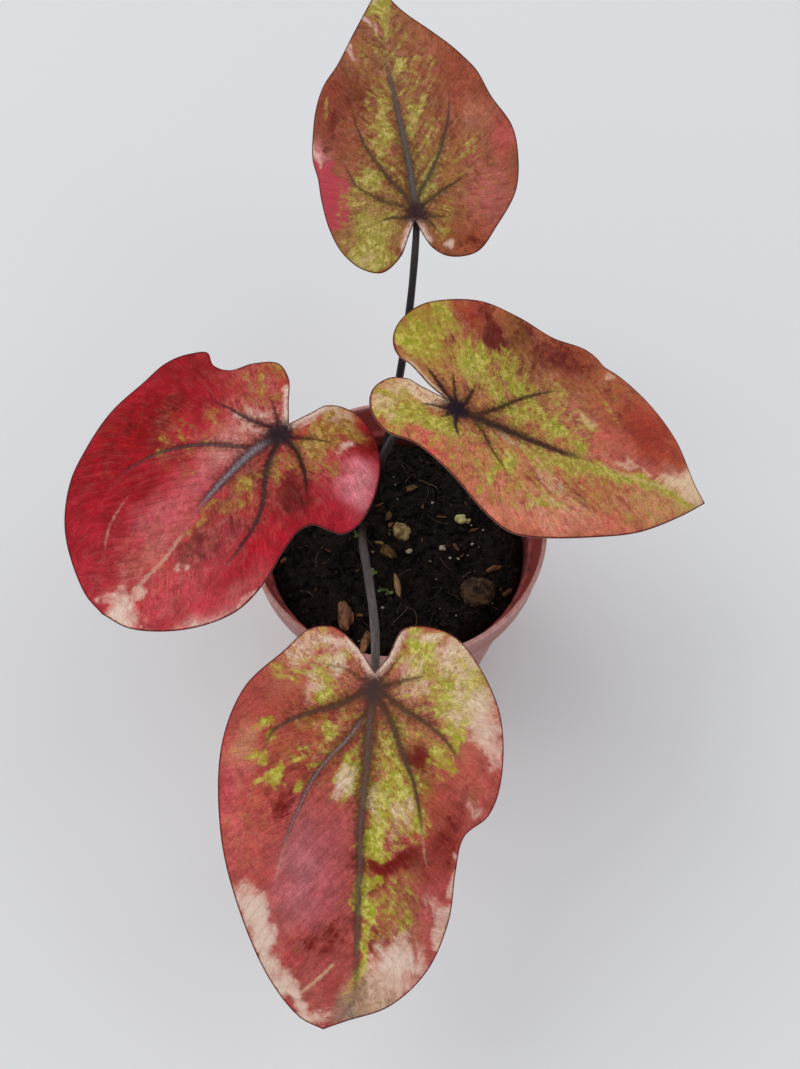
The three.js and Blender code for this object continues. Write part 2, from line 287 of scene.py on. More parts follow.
frontLeaf = {
    "joint": [-6.6, -86, 145.4],
    "heading": -95.2, "dip": 23.6, "roll": 9.5,
    "tipDroop": 10, "lobeDroop": 6, "fold": 0.1, "leftDroop": 7, "rightDroop": 6, "ripple": 0.5,
    "tip": [99, -5],
    "leftMargin": [
        [95.5, 2], [90, 13], [79, 23], [65, 28], [51, 29], [41, 31], [34.5, 37.5], [20, 40], [5, 38.5],
        [-8, 31.5], [-17, 23], [-19.5, 14], [-18, 7], [-10, 3.2],
    ],
    "sinus": [-5, -0.3],
    "rightMargin": [
        [96, -12], [85, -22], [64, -33], [43, -40], [19, -42], [2, -37], [-9, -27], [-16, -20], [-17, -13],
        [-12, -6],
    ],
    "dents": [[42, 35, 10, -3.5], [24, 38, 10, 1.5]],
    "stalk": [[-10, 14, 66], [-19, -5, 112], [-4, -50, 139]],
    "lips": [17, 15],
    "quilt": 0.1,
    "haze": 1.15, "flecks": [0.12, 0.05],
    "paleLines": [
        [1.1, 0.8, [[78, -3], [84, -8], [90, -14]]], [0.9, 0.6, [[36, 16.6], [43, 18.2], [50, 20]]],
        [0.8, 0.5, [[40, -20], [48, -22], [58, -23.3]]],
    ],
    "midrib": [3.4, 0.95, 1.0, 0.25, [[0, 0], [10, -0.5], [20, -0.3], [40, -0.3], [50, 0.5], [60, 1],
        [70, 1.8], [80, 2.5], [88, 3], [93, 1], [98, -4]]],
    "leftVeins": [
        [1.9, 0.95, 0.5, 0.1, [[3, 2], [10, 6.5], [18, 10], [25, 13.5], [33, 16], [42, 18], [48, 19.5],
            [58, 21], [68, 18.5], [78, 13], [88, 7]]],
        [1.8, 0.9, 0.6, 0.1, [[1, 3], [5, 9], [8, 15], [12, 21], [17, 25.5], [20, 28], [27, 29.5], [35, 30],
            [44, 28]]],
        [1.6, 0.8, 0.5, 0.0, [[-1, 3], [-3, 8], [-5, 14], [-7, 22], [-6, 30]]],
        [1.2, 0.6, 0.6, 0.0, [[-3, 2], [-6, 4], [-12, 8], [-18, 12]]],
    ],
    "rightVeins": [
        [1.9, 0.9, 0.6, 0.85, [[5, -0.8], [9, -2.8], [14, -6], [20, -11], [26, -15], [35, -18.5],
            [45, -21.5], [55, -23], [66, -23.5], [76, -20], [86, -13]]],
        [1.9, 0.95, 0.8, 0.1, [[1, -3], [5, -10], [8, -18], [11, -24], [14, -28], [18, -29.5], [24, -33],
            [31, -37]]],
        [1.2, 0.6, 0.5, 0.0, [[-2, -3], [-5, -8], [-6, -14], [-6, -20], [-3, -27], [0, -33]]],
        [1.0, 0.5, 0.5, 0.0, [[-3, -2], [-5, -4], [-10, -6], [-15, -12]]],
    ],
    "colours": {
        "base": (178, 84, 76), "lime": (158, 168, 44), "paleLime": (216, 212, 110), "ochre": (178, 130, 66),
        "cream": (232, 208, 188), "dark": (112, 36, 26), "vein": (84, 62, 48),
        "halo": (88, 58, 44), "heart": (78, 60, 58), "bloom": (158, 136, 142), "rim": (98, 40, 46),
    },
    # Among these tints, the pale pinkish-greys across the middle of the right half paint the leaf's sheen.
    "tintsAndPaintedLight": [
        [(186, 96, 100), 55, -12, 28, 11, 0.95], [(192, 120, 124), 54, -17, 15, 5, 0.7],
        [(163, 62, 50), 15, -14, 15, 15, 0.85], [(196, 74, 80), 32, -34, 17, 9, 0.85],
        [(204, 92, 88), 54, -31, 10, 7, 0.7], [(170, 66, 64), 87, -4, 6, 4, 0.9, -20],
        [(186, 66, 74), 79, -17, 7, 5, 0.7], [(150, 98, 62), 61, 13, 11, 7, 0.75],
        [(182, 84, 86), 60, 23, 13, 5, 0.8], [(148, 58, 48), 43, 25, 9, 7, 0.9],
        [(190, 88, 84), 23, 33, 13, 8, 0.9], [(168, 100, 60), 14, 6, 12, 6, 0.7, -20],
        [(196, 156, 110), -2, 24, 15, 16, 0.75], [(200, 120, 96), -7, -17, 9, 11, 0.75],
        [(186, 100, 96), 5, 17, 6, 5, 0.7], [(176, 84, 60), 30, 21, 6, 4, 0.6],
        [(206, 88, 100), 29, -38, 9, 4, 0.7], [(178, 118, 70), 17, 9, 17, 9, 0.7, -20],
        [(152, 138, 120), 95, 2, 6, 4, 0.9], [(168, 84, 62), 19, -24, 12, 5, 0.5, -30],
        [(158, 70, 52), 8, -14, 8, 8, 0.5], [(210, 100, 100), 44, -36, 10, 5, 0.7],
        [(196, 104, 106), 62, -21, 8, 5, 0.7], [(196, 110, 100), 88, -8, 5, 4, 0.6],
        [(190, 96, 84), -3, -20, 7, 6, 0.75], [(176, 152, 118), 88, 9, 8, 8, 0.95, -25],
        [(146, 66, 52), 72, -7, 9, 4, 0.6, -35], [(146, 108, 44), 27, 16.5, 4, 4, 0.85],
        [(206, 144, 110), 19, -36, 7, 4, 0.8], [(112, 52, 34), 20, 15, 4, 5, 0.9],
        [(130, 46, 34), 50, 10, 3, 9, 0.75],
    ],
    "lime": [
        [42, 4, 5, 4.5, 1], [31, 4, 6, 4.5, 0.95], [32, 11, 9, 5.5, 0.62, 15], [26, 15, 3.5, 3, 0.35],
        [23, 6, 5, 4.5, 0.42], [13, 6.5, 6, 3.6, 0.5, -25], [16, 22, 6, 4.5, 0.5, -40],
        [60, 3, 9, 2.4, 0.95], [77, 4, 10, 1.8, 0.85, -8], [63, 11, 8, 6, 0.12], [4, 26, 6.4, 7.5, 0.8],
        [-6, 26, 7, 6.5, 0.72], [-13, 12, 7, 4.4, 0.95], [-5, 15, 7, 7, 0.5], [25, -5, 5.5, 4, 0.85],
        [26, -26, 4.5, 2, 0.6, -40], [22, -30.5, 3.4, 2, 0.65, -80], [13, -31, 3.4, 3.4, 0.5],
        [21, -37, 3, 3, 0.12], [11, -12, 1.8, 2.6, 0.75], [21, -17, 2.4, 2.6, 0.25], [29, -19, 1.5, 2, 0.8],
        [1, -14, 4, 4, 0.8], [-8, -12.5, 3.4, 3.4, 0.75], [-8, -20, 9, 9, 0.18], [38, 16.5, 4, 2, 0.5, 15],
        [53, 5, 3, 2, 0.5], [20, 15, 3.8, 5.4, -0.95], [50, 10, 3, 9, -0.9], [62, 12.5, 6, 4, -0.7],
        [27, 17, 3, 3, -0.8],
    ],
    "cream": [
        [82, 12, 11, 6.5, 0.8, -20], [77, 13, 5, 4, 0.8], [68, 25.5, 10, 2, 0.6, 12], [61, 28.3, 9, 1, 0.6],
        [52, 28.8, 5, 0.8, 0.4], [90, -15.5, 9, 2, 0.85, 42], [70, -27, 10, 3.4, 1, 30],
        [65, -28.5, 5, 3.8, 1], [79, -22.5, 6, 1.8, 0.8, 40], [8, 34, 5, 5, 0.66], [16, 38, 4, 2.4, 0.45],
        [1, 32, 5, 5, 0.5], [-13, 24, 5, 6, 0.62], [-17, 14, 1.8, 3.4, 0.4], [2, -18, 4.4, 3, 0.3],
        [-14, -14, 2.2, 4.4, 0.75], [-10, -22, 5, 3.4, 0.45], [33, 33, 2.4, 3.4, 0.25],
        [-4, 10, 5, 4, 0.28], [36, 11, 4, 3, 0.4], [31, 3, 4, 3, 0.35], [-5, 27, 4, 4, 0.15],
        [3, 27, 6, 5, 0.28], [-8, -12, 3.4, 3.4, 0.7], [27, -6, 3, 3, 0.6], [95, -7, 3, 4, 0.5],
        [88, 9.5, 7, 7, -0.75, -25],
    ],
    "dark": [
        [50, 9, 3.4, 10, 0.95], [46, 15, 3, 4, 0.85], [20, 15, 3.8, 5, 1], [34, -24, 5, 4.4, 0.7],
        [72, -7, 9, 4, 0.45, -35], [55, 5, 3, 3.6, 0.7], [71, 9, 4, 3, 0.6], [5, 17, 4, 4, 0.5],
        [26, -20, 8, 6, 0.35], [66, 4, 2.6, 1.6, 0.7], [42, 26, 8, 5, 0.35], [39, 9, 2, 3, 0.5],
    ],
    "mosaic": [
        [10, 8, 18, 14, 0.9], [12, -12, 16, 14, 0.85], [62, 12, 13, 10, 0.75], [-8, 18, 16, 18, 0.95],
        [-8, -16, 12, 14, 0.95], [32, 9, 15, 9, 0.85], [38, -34, 18, 8, 0.45], [78, -20, 9, 8, 0.35],
        [28, 32, 8, 6, 0.4], [20, 15, 4, 5, -0.8], [50, 10, 4, 9, -0.8], [62, 12.5, 4, 4, -0.5],
    ],
}

leftLeaf = {
    "joint": [-35.5, -13.2, 170],
    "heading": -132.2, "dip": 3.5, "roll": 6.8,
    "tipDroop": 15, "lobeDroop": 5, "fold": 0.06, "leftDroop": 12, "rightDroop": -1, "ripple": 0.4,
    "tip": [74, 0],
    "leftMargin": [
        [71.8, 9.5], [65, 18.5], [56, 25], [46, 28.6], [35, 28.4], [25, 26], [17.5, 24.7], [13, 26.2],
        [10.8, 30], [8.5, 34], [3, 35.6], [-7, 33], [-16, 26.8], [-20.8, 19], [-22, 11], [-18.8, 4],
        [-11, 1.8],
    ],
    "sinus": [-4, 0],
    "rightMargin": [
        [73, -9], [65, -25], [54, -34], [43, -38], [31, -40.5], [18, -41], [8, -41], [0, -38.5],
        [-4.4, -35.6], [-2.8, -31.5], [-5, -26.5], [-12, -23], [-17.5, -18], [-16, -12], [-9, -5],
    ],
    "dents": [[-3, -32, 8, -2], [15, 30, 9, -4], [28, -38, 12, 1.5]],
    "stalk": [[-12.5, 17.5, 66], [-20, 14, 105], [-28, 2, 140]],
    "lips": [16, 16],
    "quilt": 0.16,
    "haze": 1.0, "flecks": [0.08, 0.05],
    "paleLines": [
        [1.4, 0.75, [[40, 0.8], [46, 2], [52, 2.8], [60, 2.6], [67, 3.2]]],
        [0.8, 0.5, [[44, -19], [54, -17], [62, -12]]],
    ],
    "midrib": [4.4, 1.0, 0.52, 0.95, [[0, 0], [3, -0.8], [10, -1.9], [20, -1.9], [30, -1.2], [35, -0.6],
        [40, 0.4], [50, 2.5], [60, 2.5], [66, 3], [72, 2]]],
    "leftVeins": [
        [1.8, 0.95, 0.7, 0.1, [[2, 1.5], [5, 2.5], [12, 6], [18, 11], [24, 14.5], [32, 16.5], [40, 17.5],
            [48, 18], [56, 15], [63, 11]]],
        [1.8, 1.0, 0.75, 0.0, [[0, 2], [1, 8], [4, 14], [8, 19], [12, 22.5], [17, 24]]],
        [1.3, 0.8, 0.5, 0.0, [[-1, 2], [-3, 5], [-6, 9], [-10, 16], [-8, 24], [-2, 30]]],
    ],
    "rightVeins": [
        [1.5, 0.85, 0.72, 0.3, [[7, -2], [10, -4], [14, -9], [19, -14.5], [25, -19], [31, -22], [40, -24.5],
            [47, -24.5], [56, -22], [64, -16]]],
        [1.5, 0.95, 0.6, 0.1, [[0, -3], [3, -10], [5, -18], [8, -25], [11, -29], [16, -35]]],
        [1.3, 0.8, 0.55, 0.0, [[-1, -2], [-3, -4], [-6, -9], [-8, -16], [-7, -22]]],
    ],
    "colours": {
        "base": (180, 43, 58), "lime": (140, 104, 40), "paleLime": (188, 164, 80), "ochre": (176, 98, 62),
        "cream": (232, 208, 190), "dark": (100, 24, 22), "vein": (54, 40, 38),
        "halo": (72, 36, 32), "heart": (50, 42, 46), "bloom": (146, 136, 144), "rim": (96, 42, 46),
    },
    # Among these tints, the pale pinks across the middle and on the left lobe paint highlights, and the dark
    # olive strip beside the midrib paints its shadow.
    "tintsAndPaintedLight": [
        [(152, 25, 38), 26, -32, 36, 11, 0.95], [(206, 96, 106), 42, -8, 21, 6, 0.85, -12],
        [(222, 148, 142), 13, -8, 12, 6, 0.9], [(187, 78, 72), -9, -15, 10, 9, 0.8],
        [(204, 78, 86), 56, 15, 14, 12, 0.85], [(182, 34, 48), 28, 22.5, 16, 4.6, 0.95],
        [(160, 58, 70), 38, 10, 13, 7, 0.85], [(116, 20, 16), 11, 16, 9, 6, 0.95],
        [(240, 152, 164), -5, 27.5, 7, 6, 0.85], [(174, 44, 56), 8, 29, 6, 7, 0.8],
        [(146, 40, 42), -17, 20, 6, 10, 0.9], [(176, 62, 50), -2, 10, 8, 7, 0.7],
        [(160, 38, 46), 60, -11, 10, 10, 0.75], [(214, 118, 116), 45, 25, 12, 3, 0.5],
        [(170, 52, 50), 22, 5, 12, 5, 0.6], [(172, 44, 54), 62, -24, 8, 7, 0.7],
        [(150, 44, 46), 0, -34, 8, 6, 0.8], [(150, 28, 38), 41, -17, 12, 5, 0.75, -8],
        [(222, 160, 152), 54, 26, 10, 2.4, 0.8, -25], [(96, 64, 26), 14, 5, 4, 3, 0.9],
        [(214, 210, 128), -17, 5.5, 3, 4, 0.95], [(205, 122, 112), 52, -1, 14, 3, 0.6],
        [(112, 62, 34), 22, 4, 15, 2.4, 0.7], [(130, 44, 36), 25, -24, 8, 3, 0.7, 45],
        [(196, 150, 84), -18, 12, 4, 6, 0.8],
    ],
    "lime": [
        [17, 4.4, 2.6, 2, 0.9], [8, 8, 5, 4, 0.5], [-3, 10, 7, 5, 0.75, 30], [-17, 5, 3, 4.6, 1],
        [-11, 8, 6, 4, 0.7], [30, 1.6, 2.2, 1, 0.9], [-7, 13, 5, 4, 0.5], [22, -17, 9, 1.8, 0.24, 45],
        [13, -17, 4, 4, 0.14], [28, -22.5, 4, 2, 0.2], [-8, -14, 7, 6, 0.14], [36, 2, 5, 1.4, 0.5],
        [23, 4, 5, 3, 0.3], [-16, -18, 3, 3, 0.5], [-4, 20, 3, 2, 0.3], [-17, 12, 3, 5, 0.7],
    ],
    "cream": [
        [70.5, 6, 3.2, 7.5, 0.95], [67, 0, 2.4, 3, 0.35], [64, 3.6, 3, 1.2, 0.4],
        [56, 26, 13, 1.5, 0.34, -30], [42, 28.8, 7, 1.1, 0.3], [-11, 17, 2.6, 1.8, 0.5],
        [1, -8, 5, 5, 0.26], [-16.5, 5, 2.6, 4, 0.2], [49, 8, 2, 2, 0.2], [72, -2, 1.6, 3, 0.3],
        [-19, 9, 2, 4, 0.32],
    ],
    "dark": [
        [12, 17, 8, 5, 0.4], [8, 11, 6, 4, 0.4], [-18, 20, 5, 8, 0.25], [42, 6, 5, 3, 0.6],
        [18, -30, 5, 5, 0.4], [35, 9, 9, 5, 0.35], [30, -33, 5, 5, 0.15],
    ],
    "mosaic": [
        [8, 8, 18, 12, 0.85], [-8, -14, 12, 14, 0.95], [10, -10, 14, 11, 0.7], [-6, 12, 14, 10, 0.8],
        [38, 9, 16, 9, 0.5], [50, -6, 20, 6, 0.45], [11, 17, 7, 6, -0.8], [14, 5, 4, 3, -0.6],
        [24, -22, 12, 4, 0.5, 45], [60, 8, 12, 12, 0.45],
    ],
}

rightLeaf = {
    "joint": [17.9, -7.2, 174.7],
    "heading": -3.7, "dip": 23.7, "roll": 4.5,
    "tipDroop": 6, "lobeDroop": 6, "fold": 0.06, "leftDroop": -1, "rightDroop": 5, "ripple": 0.4,
    "tip": [96, 0],
    "leftMargin": [
        [91, 6], [83, 20], [72, 31.6], [61, 36.8], [55, 38.8], [52.4, 41.4], [48, 43.3], [35, 43.2],
        [20, 44.2], [7, 45.5], [-5, 41.5], [-15, 35], [-20.5, 26], [-20, 17], [-11, 6.5],
    ],
    "sinus": [-4, 1.6],
    "rightMargin": [
        [85, -9], [65, -23], [48, -31], [32, -36], [19, -37.5], [9.5, -33.5], [-2, -24.5], [-12, -17.5],
        [-21.5, -14.5], [-26, -6], [-25.5, 1.5], [-20.5, 5], [-11, 3.4],
    ],
    "dents": [[34, 42, 10, -1.5], [60, 36, 10, 1.2], [-20, 6, 7, 2]],
    "stalk": [[-8, 19, 66], [-11, 21, 108], [2, 13, 150]],
    "lips": [20, 16],
    "quilt": 0.1,
    "haze": 1.2, "flecks": [0.12, 0.05],
    "paleLines": [
        [1.3, 0.6, [[50, -1.2], [62, -2], [75, -1], [88, 0]]],
        [1.0, 0.5, [[30, -23], [38, -25], [48, -24]]], [0.9, 0.5, [[36, 9], [44, 12], [52, 14]]],
    ],
    "midrib": [4, 1.0, 0.55, 0.1, [[0, 0], [10, -1.1], [20, -2], [30, -2.6], [40, -2.6], [48, -1.8],
        [62, -2.8], [75, -2.2], [88, -1], [94, 0]]],
    "leftVeins": [
        [1.7, 0.9, 0.5, 0.0, [[6, 0], [8, 1], [15, 6], [22, 12], [30, 17.5], [38, 22], [44, 24], [56, 28],
            [68, 25], [80, 16]]],
        [2.2, 1.0, 0.28, 0.0, [[0, 1], [2, 2], [6, 10], [7, 12], [12, 22], [20, 32], [30, 38]]],
        [1.6, 0.9, 0.35, 0.0, [[0, 2], [-1, 10], [-2, 20], [0, 30], [4, 38]]],
        [2.0, 1.0, 0.5, 0.0, [[-1, 2], [-2, 2.5], [-6, 8], [-11, 14], [-15, 22], [-14, 30]]],
    ],
    "rightVeins": [
        [1.5, 0.8, 0.3, 0.0, [[6, -2], [9, -6], [12, -12], [16, -17], [20, -22], [28, -27], [40, -29],
            [52, -25], [64, -19]]],
        [1.9, 1.0, 0.3, 0.0, [[0, -2], [0, -8], [3, -15], [8, -23], [14, -31]]],
        [1.5, 0.9, 0.35, 0.0, [[-1, -2], [-2, -2.5], [-6, -6], [-10, -11], [-11, -15]]],
        [1.7, 0.9, 0.5, 0.0, [[-2, -1], [-3, -1], [-10, -1.5], [-17, -4], [-22, -6]]],
    ],
    "colours": {
        "base": (184, 104, 74), "lime": (140, 150, 34), "paleLime": (200, 194, 92), "ochre": (192, 138, 74),
        "cream": (230, 204, 166), "dark": (98, 30, 18), "vein": (52, 40, 38),
        "halo": (70, 46, 34), "heart": (42, 34, 44), "bloom": (96, 84, 96), "rim": (84, 34, 38),
    },
    "tintsAndPaintedLight": [
        [(162, 58, 48), 70, 18, 21, 14, 0.92, -20], [(202, 98, 94), 50, 8, 12, 8, 0.85],
        [(192, 94, 92), 66, 4, 12, 4, 0.6], [(136, 58, 42), 40, 34, 16, 9, 0.85],
        [(150, 44, 42), 4, 38, 6, 7, 0.9], [(112, 76, 38), 21, 36, 6, 11, 0.8],
        [(154, 108, 56), 20, 14, 24, 13, 0.7], [(180, 76, 56), 51, -12, 12, 8, 0.9],
        [(190, 112, 82), 74, -8, 17, 7, 0.9, -20], [(226, 134, 112), 24, -31, 30, 5.5, 0.92, 12],
        [(216, 104, 94), 50, -23, 11, 5, 0.9], [(214, 98, 98), -7, -16, 8, 4, 0.95, -30],
        [(184, 82, 54), 24, -12, 22, 9, 0.6], [(190, 90, 70), -2, 24, 6, 6, 0.6],
        [(150, 84, 52), 58, 32, 10, 6, 0.5], [(186, 130, 110), 86, 5, 8, 4, 0.7],
        [(152, 112, 56), -10, 26, 12, 13, 0.7], [(200, 134, 88), 28, -13, 38, 11, 0.75],
        [(196, 166, 100), 86, -4, 11, 5, 0.85], [(208, 146, 104), 72, -10, 12, 7, 0.85, -20],
        [(192, 96, 84), 58, 2, 14, 3, 0.5], [(112, 74, 40), 16, 26, 8, 8, 0.8],
        [(96, 34, 22), 11, 32, 5, 6, 0.85], [(132, 84, 42), 28, 18, 22, 12, 0.6, -10],
        [(154, 138, 54), -12, 24, 8, 13, 0.85], [(208, 92, 84), 50, 8, 5, 5, 0.6],
        [(182, 86, 60), 39, -14, 9, 5, 0.75], [(176, 96, 84), 42, 14, 9, 7, 0.75, -20],
        [(222, 80, 84), -8, -17, 6, 3.4, 0.95, -30], [(184, 98, 62), 33, -17, 10, 6, 0.55],
        [(208, 118, 98), 10, -26, 8, 5, 0.7], [(196, 186, 138), 93, 1, 4, 4, 0.8],
    ],
    "lime": [
        [-12, 27, 9, 13, 0.34], [4, 20, 6, 7.5, 0.98], [-16, 22, 5, 7, 0.5], [-5, 31, 5, 5, 0.4],
        [-6, 38, 5, 3.4, 0.6], [-2, 24, 2, 6, -0.75], [22, 16, 5, 4.2, 0.85, -40], [34, 5, 4.4, 4.2, 1],
        [18, 7, 9, 4, 0.7, -35], [36, 19, 3.4, 3, 0.34, -40], [44, 1.5, 3, 2.4, 0.9],
        [48, 12.5, 4, 2.6, 0.66, -30], [28, 10, 6, 3, 0.6, -40], [40, 10, 6, 2, 0.2, -40],
        [12, 13, 5, 4, 0.4, -40], [60, -3.2, 18, 2, 0.9, 2], [48, -5, 8, 2.6, 0.6],
        [80, -2, 13, 1.8, 0.8, -3], [40, -7, 7, 3.2, 0.52], [28, -8, 6, 4.2, 0.55],
        [15, -14, 3.6, 3.6, 0.6], [15, -18, 12, 1.5, 0.6, 55], [30, -25.5, 9, 1.8, 0.6, 18],
        [8, -20, 7, 6, 0.12], [20, -14, 24, 12, 0.05], [-11, -7, 9, 5.4, 0.92, -8], [-20, -4, 5, 8, 0.92],
        [-3, -7, 4.6, 3.4, 0.85], [56, 20, 5, 1.6, 0.2, -45], [40, -13, 5, 3, -0.6],
        [-8, -17, 8, 3.4, -1, -30], [-11, 30, 3, 3, -0.4], [16, 24, 4, 5, 0.5],
    ],
    "cream": [
        [-12, 1.6, 8, 2, 1, -8], [88, 4, 7, 3.6, 0.85, 20], [93, 1, 3.6, 2.2, 0.55], [-22, -3, 4, 7, 0.2],
        [57, 35, 2.4, 1.4, 0.4], [33, -16, 5, 3, 0.2, -45], [34, -26, 14, 6, 0.08], [80, 2, 6, 2, 0.5, 10],
        [49, 13, 3.4, 2, 0.4, -30], [20, -6, 4, 2.4, 0.3], [66, 2, 8, 1.2, 0.4],
    ],
    "dark": [
        [36, 36, 12, 7, 0.6], [30, 30, 6, 7, 0.4], [11, 36, 4, 8, 0.75], [14, 30, 5, 5, 0.7],
        [20, 26, 3, 3, 0.7], [60, 20, 4, 4, 0.4], [-2, 24, 2, 4, 0.4], [24, 40, 5, 5, 0.4],
        [8, -10, 5, 5, 0.4], [19, 21, 7, 7, 0.5], [36, -16, 3, 2.4, 0.5], [42, -19, 4, 2, 0.5, -30],
        [28, -18, 3, 3, 0.35], [53, -8, 4, 2.4, 0.35], [4, 12, 5, 8, 0.2], [27, 16, 6, 1.6, 0.6, -40],
    ],
    "mosaic": [
        [22, 12, 32, 22, 0.95], [22, -14, 36, 20, 1], [-8, 20, 16, 24, 0.85], [66, -10, 26, 12, 0.8],
        [-12, -8, 16, 12, 0.8], [56, 30, 12, 8, 0.5], [34, 36, 16, 7, -0.4], [11, 33, 5, 8, -0.6],
        [-12, 26, 8, 13, -0.65],
    ],
}

backLeaf = {
    "joint": [6.7, 93.7, 156.7],
    "heading": 101.6, "dip": -25, "roll": 11.7,
    "tipDroop": 4, "lobeDroop": 5, "fold": 0.1, "leftDroop": 8, "rightDroop": 6, "ripple": 0.5,
    "tip": [89, -2],
    "leftMargin": [
        [84, 1.5], [72, 10], [61, 18.4], [55, 25], [47, 29.8], [37, 33], [29, 34], [21, 33.2], [13, 33.4],
        [2, 32.5], [-8, 29.4], [-15.5, 23.5], [-18.5, 16], [-14, 8], [-8, 4],
    ],
    "sinus": [-3, 1],
    "rightMargin": [
        [78, -8.6], [67, -17.8], [56, -26.5], [49, -31], [37, -34.5], [25, -40], [13, -40], [0, -36.5],
        [-11, -27.5], [-18.5, -19], [-18, -9], [-13, -3],
    ],
    "dents": [[51, -30, 8, -2], [38, 32, 8, -1.5]],
    "stalk": [[-10.5, 22.5, 66], [-2, 38, 105], [6.6, 62, 140]],
    "lips": [13, 11],
    "quilt": 0.14,
    "haze": 1.3, "flecks": [0.14, 0.03],
    "paleLines": [[0.9, 0.4, [[20, -22], [28, -24], [36, -24]]]],
    "midrib": [3.3, 0.95, 0.78, 0.7, [[0, 0], [20, -0.8], [40, -0.3], [50, 0], [60, 0.5], [72, -1],
        [87, -2]]],
    "leftVeins": [
        [1.7, 0.85, 0.7, 0.0, [[3, 1.5], [6, 2], [14, 7], [20, 10], [28, 13.5], [38, 15.5], [46, 16],
            [56, 13], [66, 8]]],
        [1.5, 0.7, 0.7, 0.0, [[1, 3], [3, 4], [6, 10], [10, 15], [14, 19], [22, 22], [32, 24.5], [42, 25]]],
        [1.5, 0.85, 0.5, 0.0, [[-1, 2], [-1, 4], [0, 10], [-1, 15], [-4, 22], [-3, 28]]],
    ],
    "rightVeins": [
        [1.7, 0.9, 0.65, 0.1, [[3, -1], [6, -2], [12, -7], [20, -12.5], [28, -16.5], [36, -19], [45, -20.5],
            [55, -18], [66, -11]]],
        [1.5, 0.85, 0.55, 0.0, [[1, -2], [2, -3], [5, -9], [8, -17], [11, -22], [17, -29], [26, -34]]],
        [1.5, 0.8, 0.4, 0.0, [[-1, -3], [-2, -4], [-4, -10], [-5, -14], [-8, -20], [-8, -25]]],
        [1.4, 0.8, 0.6, 0.0, [[-2, -2], [-4, -4], [-9, -7], [-14, -12]]],
    ],
    "colours": {
        "base": (148, 84, 62), "lime": (153, 150, 58), "paleLime": (206, 194, 112), "ochre": (164, 118, 66),
        "cream": (224, 196, 180), "dark": (100, 40, 28), "vein": (76, 64, 56),
        "halo": (84, 64, 40), "heart": (60, 44, 46), "bloom": (112, 110, 116), "rim": (88, 42, 42),
    },
    "tintsAndPaintedLight": [
        [(142, 56, 46), 45, 20, 14, 9, 0.8], [(146, 62, 50), 30, 19, 9, 7, 0.5],
        [(150, 100, 70), 68, 0, 16, 9, 0.85], [(190, 102, 96), 0, -26, 14, 9, 0.85],
        [(196, 92, 90), 21, -36, 8, 5, 0.85], [(152, 96, 56), -9, -9, 9, 8, 0.8],
        [(152, 138, 70), 0, 17, 15, 12, 0.75], [(158, 76, 60), 38, -22, 20, 10, 0.7],
        [(170, 96, 74), 60, -12, 12, 8, 0.6], [(178, 92, 84), 62, 10, 8, 5, 0.5],
        [(158, 92, 58), 22, 4, 16, 6, 0.5], [(172, 84, 60), -14, -20, 6, 6, 0.6],
        [(142, 98, 58), 28, 0, 34, 14, 0.7], [(132, 86, 56), 64, 0, 16, 12, 0.65],
        [(138, 74, 50), 40, -14, 14, 7, 0.5], [(150, 112, 56), 14, -12, 14, 8, 0.5],
        [(184, 116, 92), 29, -28, 8, 5, 0.8], [(114, 60, 40), 50, 12, 8, 6, 0.8],
        [(222, 142, 148), 31, 30.5, 5, 3, 0.8], [(196, 176, 112), -14, 22, 4, 5, 0.7],
        [(150, 100, 64), 12, 24, 7, 4, 0.7],
    ],
    "lime": [
        [-10, 17, 8, 4.6, 0.95, 20], [-14, 16, 4, 5, 0.8], [-2, 15, 5, 6, 0.6], [-12, 24, 6, 4.4, 0.8],
        [17, 13.5, 4.4, 4.6, 0.85], [10, 19, 5, 7, 0.22], [33, 6, 7, 3, 0.64], [27, 7, 5, 3, 0.5],
        [5, 20, 7, 6, 0.12], [2, 10, 6, 6, 0.26], [10, -6, 7, 2.6, 0.66, -35], [22, -8, 6, 2.4, 0.42, -35],
        [38, -7, 7, 2.2, 0.46, -35], [31, -3.4, 4, 2.2, 0.7], [5, -4, 5, 3.4, 0.42],
        [18, -23, 7, 2.6, 0.24, -60], [56, -4, 2.2, 2.2, 0.8], [57, -14, 2.8, 3.6, 0.24],
        [50, -10, 7, 4, 0.12, -40], [77, -2, 6, 2, 0.5], [60, 1, 6, 2.4, 0.14], [85, -1.5, 8, 5, 1],
        [40, 10, 9, 3.4, 0.12], [46, 25, 5, 1.6, 0.14, -30], [-6, -8, 6, 5, 0.2], [48, 2, 5, 2, 0.26],
        [50, 13, 7, 5, -0.95], [56, -13, 5, 4, -0.9],
    ],
    "cream": [
        [-15.5, -11, 1.6, 1.8, 1], [76, 5, 5, 1.4, 0.55, 35], [66, 13, 5, 1, 0.4, 35],
        [31, 31.8, 5, 1.2, 0.6, 20], [-14, 23, 4, 5, 0.2], [86, 0, 3, 2, 0.3],
    ],
    "rose": [[14, 28.5, 13, 6.6, 1, 8], [24, 30.5, 8, 2.6, 0.9, 20], [8, 30, 8, 4, 0.8]],
    "dark": [
        [38, 24, 6, 3.6, 0.55, -30], [34, -14, 10, 2.8, 0.42, 30], [48, 17, 8, 6, 0.4],
        [-15, -19, 4, 5, 0.5],
    ],
    "mosaic": [
        [22, 0, 34, 22, 0.9], [62, 0, 20, 16, 0.75], [0, 16, 18, 14, 0.8], [10, -26, 20, 10, 0.4],
        [50, 12, 7, 5, -0.75],
    ],
}

leaves = {"front": frontLeaf, "left": leftLeaf, "right": rightLeaf, "back": backLeaf}


